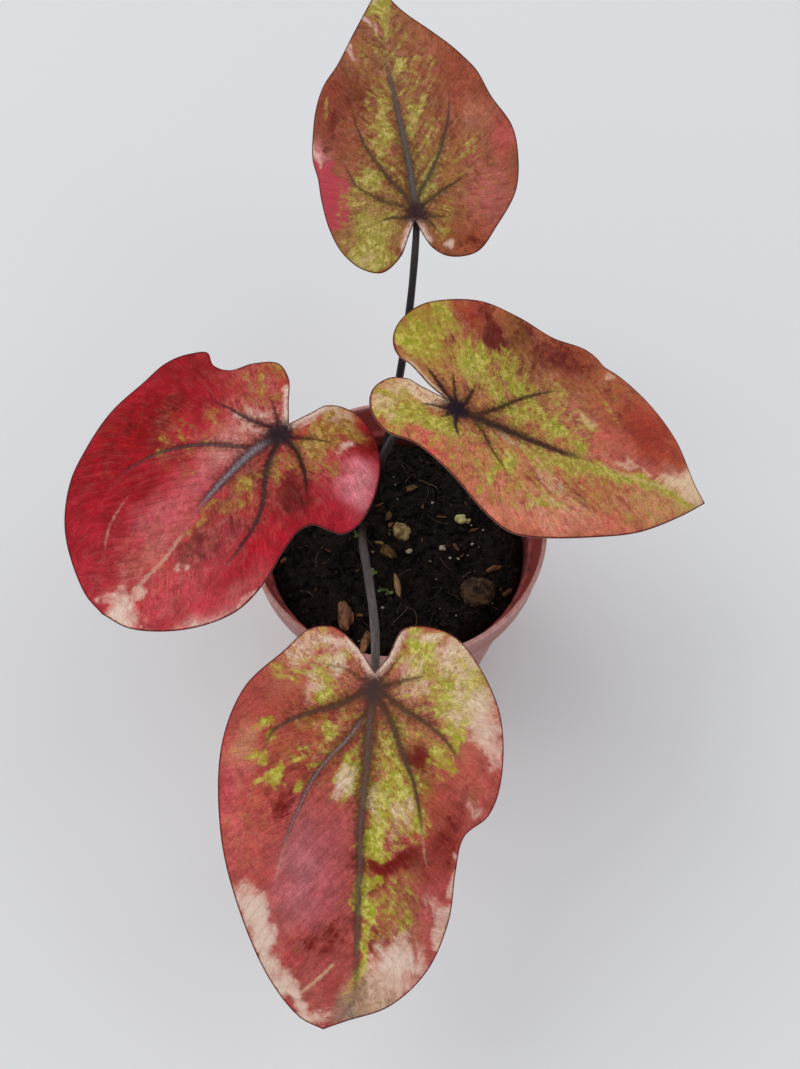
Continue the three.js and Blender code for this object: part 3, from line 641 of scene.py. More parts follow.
bladeMesh = {
    "fineGrid": 0.38,  # spacing of the upper face's points
    "coarseGrid": 0.85,
    "rimStep": 0.55, "pathStep": 1.5,
    "thickness": 0.55, "rimThickness": 0.32,
    "tipReach": 90, "lobeReach": 30, "sideReach": 40,  # where the droops are read
    "foldStart": 3,
    "rippleWaves": 7,
    "lipHeight": 1.1, "lipWidth": 2.0,
    "heartRadius": 5.0,
    "warps": ((15, 1.3), (6, 0.6)),  # length and amount of the waves that bend the patches
}

veinShape = {
    "midribDepth": 1.3, "sideDepth": 0.8,
    "slimming": 0.62,  # of the pigment's width, lost along its reach
    "taper": 0.8,
    "fadeFrom": 0.7,  # of its reach, where the pigment starts to go
    "sheenWidth": 0.55,
    "grooveDepth": 0.34, "ribHeight": 1.0,
    "branchSpacing": 3.4,  # from one side vein to the next
    "branchLean": 0.9, "branchCurl": 0.006,
}


def smoothPath(knots, step, samples=24):
    # An open centripetal curve through the knots, as points a step apart.
    k = np.asarray(knots, float)
    k = np.vstack([2 * k[0] - k[1], k, 2 * k[-1] - k[-2]])
    t = np.linspace(0, 1, samples, endpoint=False)[:, None]
    pieces = []
    for p0, p1, p2, p3 in zip(k, k[1:], k[2:], k[3:]):
        d0, d1, d2 = (max(np.linalg.norm(b - a) ** 0.5, 1e-4) for a, b in ((p0, p1), (p1, p2), (p2, p3)))
        m1 = ((p1 - p0) / d0 - (p2 - p0) / (d0 + d1) + (p2 - p1) / d1) * d1
        m2 = ((p2 - p1) / d1 - (p3 - p1) / (d1 + d2) + (p3 - p2) / d2) * d1
        pieces.append((2 * t**3 - 3 * t**2 + 1) * p1 + (t**3 - 2 * t**2 + t) * m1
                      + (3 * t**2 - 2 * t**3) * p2 + (t**3 - t**2) * m2)
    points = np.vstack([*pieces, k[-2:-1]])
    run = pathRun(points)
    stations = np.linspace(0, run[-1], max(2, round(run[-1] / step)) + 1)
    return np.stack([np.interp(stations, run, points[:, axis]) for axis in range(k.shape[1])], axis=1)


def pathRun(points):
    # The length along a path up to each of its points.
    return np.concatenate([[0], np.cumsum(np.linalg.norm(np.diff(points, axis=0), axis=1))])


def alongPath(path, u, v):
    # Distance to a path, the length along it there, and which side: positive is its left.
    gap = np.full(u.shape, np.inf)
    station, side = np.zeros(u.shape), np.zeros(u.shape)
    run = 0.0
    for (u0, v0), (u1, v1) in zip(path, path[1:]):
        du, dv = u1 - u0, v1 - v0
        length = math.hypot(du, dv)
        share = np.clip(((u - u0) * du + (v - v0) * dv) / length**2, 0, 1)
        here = np.hypot(u - u0 - share * du, v - v0 - share * dv)
        closer = here < gap
        gap = np.where(closer, here, gap)
        station = np.where(closer, run + share * length, station)
        side = np.where(closer, du * (v - v0) - dv * (u - u0), side)
        run += length
    return gap, station, side, run


def isInside(outline, u, v):
    hits = np.zeros(u.shape, bool)
    for (u0, v0), (u1, v1) in zip(outline, np.roll(outline, -1, axis=0)):
        if v0 != v1:
            hits ^= ((v0 > v) != (v1 > v)) & (u < u0 + (v - v0) * (u1 - u0) / (v1 - v0))
    return hits


def fillOutline(outline, spacing, clearance=0.72):
    # Triangles over an outline, on a staggered grid that keeps clear of the rim by a share of its
    # spacing; the outline's own points come first.
    low, high = outline.min(axis=0), outline.max(axis=0)
    grid = []
    for row, v in enumerate(np.arange(low[1], high[1], spacing * math.sqrt(0.75))):
        u = np.arange(low[0] + (row % 2) * spacing / 2, high[0], spacing)
        grid.append(np.stack([u, np.full(len(u), v)], 1))
    grid = np.vstack(grid)
    grid = grid[isInside(outline, grid[:, 0], grid[:, 1])]
    edge = KDTree(len(outline))
    for index, point in enumerate(outline):
        edge.insert((*point, 0), index)
    edge.balance()
    clear = [edge.find((*point, 0))[2] > clearance * spacing for point in grid]
    points = [Vector(point) for point in np.vstack([outline, grid[clear]]).tolist()]
    result = delaunay_2d_cdt(points, [], [list(range(len(outline)))], 1, 1e-6)
    return np.array(result[0]), np.array(result[2])


def bladeHeight(leaf, u, v):
    tipFall = leaf["tipDroop"] * (np.maximum(u, 0) / bladeMesh["tipReach"]) ** 2
    lobeFall = leaf["lobeDroop"] * (np.minimum(u, 0) / bladeMesh["lobeReach"]) ** 2
    trough = leaf["fold"] * (np.hypot(v, bladeMesh["foldStart"]) - bladeMesh["foldStart"])
    sideDroop = np.where(v > 0, leaf["leftDroop"], leaf["rightDroop"])
    sideFall = sideDroop * (np.abs(v) / bladeMesh["sideReach"]) ** 2.5
    waves = np.sin(bladeMesh["rippleWaves"] * np.arctan2(v, u))
    ripple = leaf["ripple"] * waves * (np.hypot(u, v) / bladeMesh["sideReach"]) ** 2
    height = trough + ripple - tipFall - lobeFall - sideFall
    for dentU, dentV, reach, lift in leaf["dents"]:
        height = height + lift * np.exp(-((u - dentU) ** 2 + (v - dentV) ** 2) / reach**2)
    return height


def turnAbout(axis, degrees):
    return Matrix.Rotation(math.radians(degrees), 3, axis)


def leafFrame(leaf):
    aim = turnAbout("Z", leaf["heading"]) @ turnAbout("Y", leaf["dip"])
    return np.array(aim @ turnAbout("X", -leaf["roll"]))


def fade(value, low, high):
    # 0 below low, 1 above high, smooth between.
    share = np.clip((value - low) / (high - low), 0, 1)
    return share * share * (3 - 2 * share)


def bell(value):
    return np.exp(-(value**2))


def crossedWaves(seed, u, v, length, amount, waves=6):
    # A smooth irregular field: plane waves of about one length in random directions.
    rng = random.Random(seed)
    total = np.zeros(u.shape)
    for _ in range(waves):
        angle, phase = rng.uniform(0, math.tau), rng.uniform(0, math.tau)
        pace = math.tau / (length * rng.uniform(0.7, 1.4))
        total += np.sin(pace * (u * math.cos(angle) + v * math.sin(angle)) + phase)
    return amount * total / 2.4  # about the field's usual height


def spot(patch, u, v, power):
    # A patch's share at each point.
    centreU, centreV, halfU, halfV, share, *turn = patch
    c, s = math.cos(math.radians(sum(turn))), math.sin(math.radians(sum(turn)))
    along = ((u - centreU) * c + (v - centreV) * s) / halfU
    across = ((v - centreV) * c - (u - centreU) * s) / halfV
    return share * np.exp(-((along**2 + across**2) ** (power / 2)))


def patchShare(patches, u, v):
    share = np.zeros(u.shape)
    for patch in patches:
        mark = spot(patch, u, v, 3)
        share = np.where(mark > 0, share + mark * (1 - share), share * (1 + mark))
    return share


def readVeins(leaf, u, v):
    # What the veins give each point: pigment, painted sheen, groove depth and the side veins' coordinates.
    midrib = smoothPath(leaf["midrib"][4], bladeMesh["pathStep"])
    gap, station, side, _ = alongPath(midrib, u, v)
    field = {"station": station + np.minimum(u, 0), "across": gap, "sector": np.sign(side)}
    trunk = [(leaf["midrib"], midrib, veinShape["midribDepth"])]
    for sign, key in ((1, "leftVeins"), (-1, "rightVeins")):
        for order, vein in enumerate(leaf[key]):
            path = smoothPath(vein[4], bladeMesh["pathStep"])
            trunk.append((vein, path, veinShape["sideDepth"]))
            gap, station, turn, _ = alongPath(path, u, v)
            outer = (side * sign > 0) & (turn * sign > 0)
            for name, value in (("station", station), ("across", gap), ("sector", sign * (order + 2.0))):
                field[name] = np.where(outer, value, field[name])
    total = {name: np.zeros(u.shape) for name in ("mark", "pigment", "bloom", "halo", "groove", "rib")}

    def raiseTo(name, value):
        total[name] = np.maximum(total[name], value)

    for (width, pigment, reach, bloom, _), path, depth in trunk:
        gap, station, _, run = alongPath(path, u, v)
        slim = 1 - veinShape["slimming"] * np.clip(station / (run * reach), 0, 1) ** 0.8
        half = 0.5 * width * slim
        strength = pigment * (1 - fade(station, veinShape["fadeFrom"] * reach * run, reach * run * 1.02))
        taper = 1 - veinShape["taper"] * station / run
        mark = np.exp(-0.6 * (gap / half) ** 1.6)
        nearer = mark > total["mark"]
        total["mark"] = np.where(nearer, mark, total["mark"])
        total["pigment"] = np.where(nearer, strength, total["pigment"])
        # The painted sheen: a pale silver highlight along the middle of a vein, from a few mm out.
        sheenBand = bell(gap / (veinShape["sheenWidth"] * half))
        raiseTo("bloom", bloom * strength * fade(station, 2, 9) * sheenBand)
        haze = bell(gap / (leaf["haze"] * (1.1 + 1.05 * width * taper)))
        raiseTo("halo", pigment * (haze * (1 - fade(station, 0, 1.15 * reach * run))))
        reachOut = 0.55 * width * (0.45 + 0.55 * taper)
        dip = bell(gap / reachOut) - 0.25 * bell((gap - 2.4 * reachOut) / reachOut)
        raiseTo("groove", veinShape["grooveDepth"] * depth * taper * dip)
        raiseTo("rib", depth * taper * bell(gap / (0.5 * width * taper + 0.3)))
    lean, curl, across = veinShape["branchLean"], veinShape["branchCurl"], field["across"]
    field["branch"] = field["station"] - lean * across - curl * across**2 + crossedWaves(7, u, v, 22, 0.3)
    return {**field, **total}


def lipShare(leaf, outline, u, v):
    # 1 on the rolled edges on both sides of the sinus, fading along them and away from them.
    start = int(np.argmin(np.hypot(*(outline - np.array(leaf["sinus"])).T)))
    share = np.zeros(u.shape)
    for length, step in zip(leaf["lips"], (-1, 1)):
        steps = max(2, round(length / bladeMesh["rimStep"]))
        path = [outline[(start + step * i) % len(outline)] for i in range(steps + 1)]
        gap, station, _, run = alongPath(path, u, v)
        near = np.exp(-((gap / bladeMesh["lipWidth"]) ** 3))
        share = np.maximum(share, near * (1 - fade(station, 0.75 * run, run)))
    return share


def paleShare(leaf, u, v):
    # The thin pale lines where a blade is creased.
    pale = np.zeros(len(u))
    for width, share, knots in leaf["paleLines"]:
        gap, station, _, run = alongPath(smoothPath(knots, bladeMesh["pathStep"]), u, v)
        ends = fade(station, -1, 0.2 * run) * (1 - fade(station, 0.8 * run, run + 1))
        pale = np.maximum(pale, share * ends * bell(gap / (0.6 * width)))
    return pale


def leafOutline(leaf):
    left, right = (smoothPath([leaf["tip"], *leaf[key], leaf["sinus"]], bladeMesh["rimStep"])
                   for key in ("leftMargin", "rightMargin"))
    outline = np.vstack([left[:-1], right[::-1][:-1]])
    u, v = outline.T
    clockwise = np.sum(u * np.roll(v, -1) - v * np.roll(u, -1)) < 0
    return outline[::-1] if clockwise else outline


def makeSheet(leaf, outline, under, spacing):
    # One face of a blade: its points, triangles and the values that its material reads.
    flat, triangles = fillOutline(outline, spacing)
    u, v = flat[:, 0], flat[:, 1]
    veins = readVeins(leaf, u, v)
    edge = alongPath(np.vstack([outline, outline[:1]]), u, v)[0]
    edge[:len(outline)] = 0
    lip = lipShare(leaf, outline, u, v)
    calm = fade(edge, 1.0, 6.0) * fade(veins["across"], 0.8, 3.0)
    phase = math.pi * veins["branch"] / veinShape["branchSpacing"]
    quilt = leaf["quilt"] * calm * (np.abs(np.sin(phase)) ** 0.7 - 0.6)
    height = bladeHeight(leaf, u, v) + quilt - veins["groove"] + bladeMesh["lipHeight"] * lip
    if under:
        thinning = bladeMesh["thickness"] - bladeMesh["rimThickness"]
        thick = bladeMesh["rimThickness"] + thinning * fade(edge, 0, 5)
        height = height - thick - veinShape["ribHeight"] * veins["rib"] * fade(edge, 0, 4)
    warpU, warpV = u, v
    for seed, (length, amount) in enumerate(bladeMesh["warps"], 1):
        warpU = warpU + crossedWaves(seed, u, v, length, amount)
        warpV = warpV + crossedWaves(seed + 2, u, v, length, amount)
    # The tints: the leaf's own colours, with pale patches that paint its sheen highlights and a few dark ones
    # that paint shadow.
    tintAndPaintedLight = np.tile(leafPaint(*leaf["colours"]["base"]), (len(u), 1))
    for colour, *patch in leaf["tintsAndPaintedLight"]:
        weight = spot(patch, warpU, warpV, 2.4)[:, None]
        tintAndPaintedLight = tintAndPaintedLight * (1 - weight) + np.array(leafPaint(*colour)) * weight
    zones = ("lime", "cream", "dark", "rose", "mosaic")
    shares = [patchShare(leaf.get(zone, []), warpU, warpV) for zone in zones]
    for index, amount in enumerate(leaf["flecks"]):
        shares[index] = shares[index] + amount * shares[4] * (1 - shares[index])
    shares[1] = np.maximum(shares[1], lip)
    heart = bell(np.hypot(u, v) / bladeMesh["heartRadius"])
    place = np.stack([u, v, height], 1) @ leafFrame(leaf).T + np.array(leaf["joint"])
    triples = {
        "where": (u, v, edge),
        "flow": (veins["branch"], veins["across"], 9.0 * veins["sector"]),  # keeps the sectors' grain apart
        "marbled": shares[:3],
        "vein": (veins["mark"], veins["pigment"], veins["bloom"]),
        "dusk": (heart, veins["halo"], shares[3]),
        "state": (np.full(len(u), under), shares[4], paleShare(leaf, u, v)),
    }
    return place, triangles, {"tintAndPaintedLight": tintAndPaintedLight, **{key: np.stack(parts, 1) for key, parts in triples.items()}}


def makeBlade(name, leaf, material):
    outline = leafOutline(leaf)
    upper, upperFaces, upperValues = makeSheet(leaf, outline, 0.0, bladeMesh["fineGrid"])
    lower, lowerFaces, lowerValues = makeSheet(leaf, outline, 1.0, bladeMesh["coarseGrid"])
    shift, count = len(upper), len(outline)
    wall = []
    for i in range(count):
        j = (i + 1) % count
        wall += [(i, i + shift, j + shift), (i, j + shift, j)]
    faces = np.vstack([upperFaces, lowerFaces[:, ::-1] + shift, wall])
    values = {key: np.concatenate([upperValues[key], lowerValues[key]]) for key in upperValues}
    addPiece(f"blade_{name}_leaf", np.vstack([upper, lower]), faces, material,
             [f"blade_{name}"], values)
    print("stage: leaf", name, len(faces), "faces")


# Shared leaf effects

def marblingGroup():
    # Breaks a smooth share into ragged marbling: blotches, streaks along the side veins and tiles.
    numbers = ("Share", "Offset", "Blotch", "Ragged", "Softness", "Tile", "Chip")
    inputs = {"Where": ("Vector", None), "Flow": ("Vector", None), **dict.fromkeys(numbers, ("Float", 0.5))}
    masks = dict.fromkeys(("Mask", "Fringe", "Wash"), "Float")
    group, given, put = newGroup("leafMarbling", inputs, masks)
    share = given["Share"]
    offset = combine(given["Offset"], given["Offset"])
    blotches = grainNoise(shifted(scaled(given["Where"], (1, 1, 0)), offset), given["Blotch"], 3.0, 0.54)
    streaks = grainNoise(shifted(scaled(given["Flow"], (0.4, 0.15, 1)), offset), 1.0, 2.0, 0.5)
    total = -0.5
    for part, weight in ((blotches, 0.44), (streaks, 0.34), (given["Tile"], 0.12), (given["Chip"], 0.1)):
        total = add(total, times(part, weight))
    gate = times(share, 8.0, clamp=True)
    calm = subtract(1.0, times(share, 0.6, clamp=True))  # smooth cores
    mix = add(share, times(times(times(total, given["Ragged"]), gate), calm))
    low, high = subtract(0.5, given["Softness"]), add(0.5, given["Softness"])
    for key, start, end in (("Mask", low, high), ("Fringe", 0.05, 0.6), ("Wash", -0.25, 0.5)):
        feed(times(ramp(mix, start, end), gate), put[key])
    return group


leafGrains = {
    # noise over the blade: scale, low, high, shift
    "flat": {"Pale": (0.3, 0.5, 0.63, 57), "Deep": (0.36, 0.5, 0.6, 0), "Ochre": (0.24, 0.47, 0.6, 91)},
    # noise along the side veins: scale across, scale along, low, high, shift
    "flow": {"Streaks": (1.7, 0.24, 0.34, 0.66, 0), "Dash": (0.8, 0.34, 0.5, 0.66, 23),
             "Thread": (1.0, 0.26, 0.52, 0.64, 71), "Fine": (2.2, 1.2, 0.3, 0.7, 11)},
    # soft noise: scale, detail, low, high
    "soft": {"Speckle": (1.7, 2.0, 0.36, 0.64), "Cloud": (0.16, 3.0, 0.34, 0.66)},
}


def leafGrainGroup():
    # Fine relief and flecks of a blade: a net of small veins, the side veins, streaks, tiles, speckle.
    inputs = {"Where": ("Vector", None), "Flow": ("Vector", None), "Cell": ("Float", 0.8)}
    grains = [key for kind in leafGrains.values() for key in kind]
    outputs = {**dict.fromkeys(["Net", "Lines", *grains], "Float"), "Tiles": "Vector", "Chips": "Vector"}
    group, given, put = newGroup("leafGrain", inputs, outputs)
    flat = scaled(given["Where"], (1, 1, 0))
    wobble = grainNoise(flat, 0.5, 2.0)
    bent = shifted(flat, combine(wobble, wobble))
    cells = joinNode("ShaderNodeTexVoronoi", {"Vector": bent, "Scale": given["Cell"]},
                     feature="DISTANCE_TO_EDGE")
    feed(ramp(cells.outputs["Distance"], 0.02, 0.16, 1.0, 0.0), put["Net"])
    fold = calc("PINGPONG", split(given["Flow"])[0], veinShape["branchSpacing"] / 2)
    feed(ramp(fold, 0.05, 0.45, 1.0, 0.0), put["Lines"])
    sway = swing(grainNoise(flat, 0.7), 1.6)
    for key, place, scale in (("Tiles", given["Flow"], (0.42, 0.26, 1)), ("Chips", flat, (0.8, 0.8, 1))):
        moved = shifted(scaled(place, scale), combine(sway, sway))
        feed(joinNode("ShaderNodeTexVoronoi", {"Vector": moved, "Scale": 1.0}).outputs["Color"], put[key])
    for key, (scale, detail, low, high) in leafGrains["soft"].items():
        feed(ramp(grainNoise(flat, scale, detail), low, high), put[key])
    for key, (scale, low, high, shift) in leafGrains["flat"].items():
        feed(ramp(grainNoise(shifted(bent, (shift, shift, 0)), scale, 5.0, 0.62), low, high), put[key])
    for key, (across, along, low, high, shift) in leafGrains["flow"].items():
        moved = shifted(scaled(given["Flow"], (across, along, 1)), (shift, shift, 0))
        feed(ramp(grainNoise(moved, 1.0), low, high), put[key])
    return group


leafMarbling = marblingGroup()
leafGrain = leafGrainGroup()

leafSkin = {
    "marbling": {  # offset, blotch scale, tile channel, softness, raggedness
        "dark": (31.0, 0.34, 1, 0.45, 4.0), "rose": (47.0, 0.3, 2, 0.2, 1.6),
        "lime": (0.0, 0.3, 0, 0.46, 4.0), "cream": (17.0, 0.3, 2, 0.6, 2.7),
    },
    "paleFleck": (232, 160, 144), "thread": (232, 176, 140),
    "rose": (184, 66, 82), "creamWash": (232, 168, 154), "underside": (196, 158, 146),
    # what is left of red, green and blue in the darker marks
    "deep": (0.62, 0.3, 0.3), "dash": (0.74, 0.45, 0.5), "line": (0.5, 0.4, 0.4),
    "halo": (0.42, 0.34, 0.26), "vein": (0.4, 0.34, 0.3),
    "strength": {
        "ochre": 0.62, "deep": 0.8, "dash": 0.5, "dark": 0.95, "rose": 0.9, "limeWash": 0.4, "limeFringe": 0.6,
        "lime": 0.82, "creamWash": 0.55, "cream": 0.88, "bricks": 0.6, "creases": 0.85, "threads": 0.26,
        "lines": 0.22, "halo": 0.74, "heart": 0.92, "rim": 0.9, "underside": 0.6,
    },
    "tone": {"Streaks": (0.9, 1.08), "Speckle": (0.88, 1.1), "Cloud": (0.82, 1.1)},
    "sheen": 0.13, "gloss": (0.36, 0.48), "undersideGloss": 0.2,
    "relief": (0.45, 0.09),  # strength and depth
}


def leafMaterial(name, colours):
    material, tree, surface = newMaterial(f"leaf_{name}")
    surface["Specular IOR Level"].default_value = leafSkin["sheen"]
    tones = {key: leafPaint(*value) for key, value in colours.items()}
    where, flow = attribute(tree, "where"), attribute(tree, "flow")
    limeShare, creamShare, darkShare = split(attribute(tree, "marbled"))
    mark, pigment, bloom = split(attribute(tree, "vein"))
    heart, halo, roseShare = split(attribute(tree, "dusk"))
    under, mosaic, pale = split(attribute(tree, "state"))
    grain = placeGroup(leafGrain, {"Where": where, "Flow": flow})
    tiles, chips = split(grain["Tiles"]), split(grain["Chips"])
    flat = scaled(where, (1, 1, 0))
    busy = level(mosaic, 0.25, 1.0)
    strength = leafSkin["strength"]

    def marbling(key, share):
        offset, blotch, channel, softness, ragged = leafSkin["marbling"][key]
        return placeGroup(leafMarbling, {
            "Share": share, "Where": where, "Flow": flow, "Offset": offset, "Blotch": blotch,
            "Softness": softness, "Ragged": ragged, "Tile": tiles[channel], "Chip": chips[channel]})

    # the skin's own tone and its flecks
    levels = [level(grain[key], *span) for key, span in leafSkin["tone"].items()]
    tone = reduce(times, [*levels, level(tiles[2], 0.91, 1.09), level(chips[2], 0.92, 1.08)])
    # The tint holds the leaf's own colours together with its painted sheen and shadows.
    tintAndPaintedLight = attribute(tree, "tintAndPaintedLight", "Color")
    colour = scaled(tintAndPaintedLight, combine(tone, tone, tone))
    colour = cover(colour, grain["Pale"], level(mosaic, 0.06, 0.5),
                   blendColour(0.6, tintAndPaintedLight, leafPaint(*leafSkin["paleFleck"])))
    colour = cover(colour, grain["Ochre"], times(mosaic, strength["ochre"]),
                   blendColour(0.8, tintAndPaintedLight, tones["ochre"]))
    colour = cover(colour, grain["Deep"], times(busy, strength["deep"]), scaled(colour, leafSkin["deep"]))
    colour = cover(colour, grain["Dash"], times(busy, strength["dash"]), scaled(colour, leafSkin["dash"]))

    # the marbling
    colour = cover(colour, marbling("dark", darkShare)["Mask"], strength["dark"], tones["dark"])
    rose = leafPaint(*leafSkin["rose"])
    colour = cover(colour, marbling("rose", roseShare)["Mask"], strength["rose"], rose)
    greens = ramp(add(times(grainNoise(flat, 0.34, 4.0), 0.75), times(chips[1], 0.25)), 0.4, 0.62)
    limes = marbling("lime", limeShare)
    colour = cover(colour, limes["Wash"], strength["limeWash"], blendColour(0.6, colour, tones["ochre"]))
    olive = mixPaint(0.5, tones["ochre"], tones["lime"])
    colour = cover(colour, limes["Fringe"], strength["limeFringe"], olive)
    lime = blendColour(greens, tones["lime"], tones["paleLime"])
    colour = cover(colour, limes["Mask"], strength["lime"], lime)
    creams = marbling("cream", creamShare)
    washed = blendColour(0.6, colour, leafPaint(*leafSkin["creamWash"]))
    colour = cover(colour, creams["Wash"], strength["creamWash"], washed)
    colour = cover(colour, creams["Mask"], strength["cream"], tones["cream"])
    bricks = times(ramp(grainNoise(flat, 0.52, 4.0, 0.7), 0.53, 0.62), mosaic)
    colour = cover(colour, bricks, strength["bricks"], blendColour(0.4, tintAndPaintedLight, tones["dark"]))

    # creases, threads and the net of small veins
    broken = swing(grainNoise(flat, 0.7, 4.0), 1.4)
    broken = add(pale, times(broken, times(pale, 4.0, clamp=True)))
    crease = mixPaint(0.4, tones["ochre"], tones["cream"])
    colour = cover(colour, ramp(broken, 0.1, 0.9), strength["creases"], crease)
    colour = cover(colour, grain["Thread"], times(busy, strength["threads"]),
                   blendColour(0.5, colour, leafPaint(*leafSkin["thread"])))
    colour = cover(colour, grain["Net"], ramp(mosaic, 0, 1, 0.08, 0.22), scaled(colour, leafSkin["line"]))
    colour = cover(colour, grain["Lines"], strength["lines"], scaled(colour, leafSkin["line"]))
    fine = add(swing(grain["Fine"], ramp(mosaic, 0, 1, 0.2, 0.5)), 1.0)
    colour = scaled(colour, combine(fine, fine, fine))

    # the main veins with their painted sheen, the heart over the petiole, the rim and the underside
    mottle = subtract(grainNoise(flat, 0.9, 4.0, 0.65), 0.5)

    def mottled(share, amount, low, high, *levels):
        return ramp(add(share, times(mottle, amount)), low, high, *levels)

    shadow = blendColour(0.45, scaled(colour, leafSkin["halo"]), tones["halo"])
    colour = cover(colour, mottled(halo, 1.8, 0.1, 0.95), strength["halo"], shadow)
    deepened = scaled(colour, leafSkin["vein"])
    veinShade = blendColour(ramp(pigment, 0.4, 0.95, 0.1, 0.75), deepened, tones["vein"])
    colour = cover(colour, mottled(mark, 0.9, 0.1, 0.95), pigment, veinShade)
    colour = cover(colour, mottled(heart, 0.9, 0.25, 0.85), strength["heart"], tones["heart"])
    # Painted sheen: a silvery highlight laid along the middle of the veins.
    colour = cover(colour, ramp(grain["Speckle"], 0.1, 0.9, 0.4, 1.0), bloom, tones["bloom"])
    rim = mottled(split(where)[2], 0.8, 0.2, 0.6, 1.0, 0.0)
    colour = cover(colour, rim, strength["rim"], tones["rim"])
    colour = cover(colour, under, strength["underside"], leafPaint(*leafSkin["underside"]))
    feed(colour, surface["Base Color"])

    gloss = level(grain["Cloud"], *leafSkin["gloss"])
    feed(add(gloss, times(under, leafSkin["undersideGloss"])), surface["Roughness"])
    relief = subtract(times(grain["Streaks"], 0.5), times(grain["Net"], 0.4))
    relief = subtract(add(relief, times(grain["Speckle"], 0.3)), times(grain["Lines"], 0.4))
    giveRelief(surface, relief, *leafSkin["relief"])
    return material


for leafName, leaf in leaves.items():
    makeBlade(leafName, leaf, leafMaterial(leafName, leaf["colours"]))


# Petioles

petiole = {
    "baseRadius": 1.62, "topRadius": 1.3,
    "sides": 20, "steps": 110,
    "sheath": (0.15, 80, 92),  # extra radius where it leaves the soil, gone between two heights
    "collar": (0.35, 0.955),  # extra radius under the blade, from this share of its length
    "waver": (0.025, 37),  # uneven radius: share and pace
    "ridges": (0.02, 7),  # depth as a share of the radius, and how many
    "sink": 2.0,  # how far its end lies below the upper face
    # The grey paints the stalks' sheen where the light falls on them.
    "skin": (30, 23, 24), "streak": (54, 45, 44), "bloom": (116, 108, 106), "fleck": (22, 16, 17),
    # Painted sheen for each stalk, strongest on the front one; below the first height the stalks get none and
    # stay dark, as painted shade near the soil.
    "sheenStrength": {"front": 0.85, "left": 0.4, "right": 0.4, "back": 0.0},
    "sheenFrom": (98, 122),
    "fleckStrength": 0.6, "gloss": (0.36, 0.52), "relief": (0.5, 0.08),
}


def bezier(knots, t):
    a, b, c, d = (np.array(k, float) for k in knots)
    t = t[:, None]
    return (1 - t) ** 3 * a + 3 * (1 - t) ** 2 * t * b + 3 * (1 - t) * t**2 * c + t**3 * d


def tube(path, radii, sides):
    # Rings of points round a path, closed at both ends, with the angle and the length along it.
    path = np.asarray(path, float)
    tangents = np.gradient(path, axis=0)
    tangents /= np.linalg.norm(tangents, axis=1)[:, None]
    normal = np.cross(tangents[0], (0.31, 0.22, 0.92))  # any way that no path runs
    normal /= np.linalg.norm(normal)
    points, marks = [], []
    for centre, tangent, radius, length in zip(path, tangents, radii, pathRun(path)):
        normal = normal - tangent * np.dot(normal, tangent)
        normal /= np.linalg.norm(normal)
        other = np.cross(tangent, normal)
        for side in range(sides):
            angle = math.tau * side / sides
            points.append(centre + radius * (math.cos(angle) * normal + math.sin(angle) * other))
            marks.append((math.cos(angle), math.sin(angle), length))
    faces = []
    for ring in range(len(path) - 1):
        for side in range(sides):
            a, b = ring * sides + side, ring * sides + (side + 1) % sides
            faces += [(a, b, b + sides), (a, b + sides, a + sides)]
    last = (len(path) - 1) * sides
    faces += [(0, i + 1, i) for i in range(1, sides - 1)]
    faces += [(last, last + i, last + i + 1) for i in range(1, sides - 1)]
    return np.array(points), faces, np.array(marks)


def petioleMaterial():
    material, tree, surface = newMaterial("petiole_skin", Roughness=0.42)
    surface["Specular IOR Level"].default_value = 0.22
    skin, streak, bloom, fleck = (paint(*petiole[key]) for key in ("skin", "streak", "bloom", "fleck"))
    place = attribute(tree, "around")
    streaks = ramp(grainNoise(scaled(place, (2.2, 2.2, 0.09)), 1.6), 0.4, 0.68)
    # Painted sheen: grey over the lit stalks; low down near the soil they stay dark, in painted shade.
    sheenShare = times(attribute(tree, "shade", "Fac"), ramp(streaks, 0.0, 1.0, 0.5, 1.0))
    colour = blendColour(sheenShare, blendColour(streaks, skin, streak), bloom)
    colour = cover(colour, ramp(grainNoise(place, 1.4), 0.56, 0.7), petiole["fleckStrength"], fleck)
    feed(colour, surface["Base Color"])
    feed(ramp(streaks, 0, 1, *petiole["gloss"]), surface["Roughness"])
    giveRelief(surface, streaks, *petiole["relief"])
    return material


def makePetioles():
    material = petioleMaterial()
    for name, leaf in leaves.items():
        t = np.linspace(0, 1, petiole["steps"])
        path = bezier([*leaf["stalk"], leaf["joint"]], t)
        path -= leafFrame(leaf)[:, 2] * (petiole["sink"] * fade(t, 0.8, 1.0))[:, None]
        radii = petiole["baseRadius"] + (petiole["topRadius"] - petiole["baseRadius"]) * t
        (sheath, *heights), (collar, start) = petiole["sheath"], petiole["collar"]
        radii = radii + sheath * (1 - fade(path[:, 2], *heights)) + collar * fade(t, start, 1.0)
        (waver, pace), (depth, count) = petiole["waver"], petiole["ridges"]
        radii = radii * (1 + waver * np.sin(pace * t + 2 * len(name)))
        points, faces, marks = tube(path, radii, petiole["sides"])
        ridges = 1 + depth * np.cos(count * np.arctan2(marks[:, 1], marks[:, 0]))
        centres = np.repeat(path, petiole["sides"], axis=0)
        points = centres + (points - centres) * ridges[:, None]
        # How much painted sheen each point gets; none low down, where the stalks are painted in shade.
        shade = petiole["sheenStrength"][name] * fade(centres[:, 2], *petiole["sheenFrom"])
        addPiece(f"petiole_{name}_skin", points, faces, material, [f"petiole_{name}"],
                 {"around": marks, "shade": shade})
    print("stage: petioles")


makePetioles()


# Pot

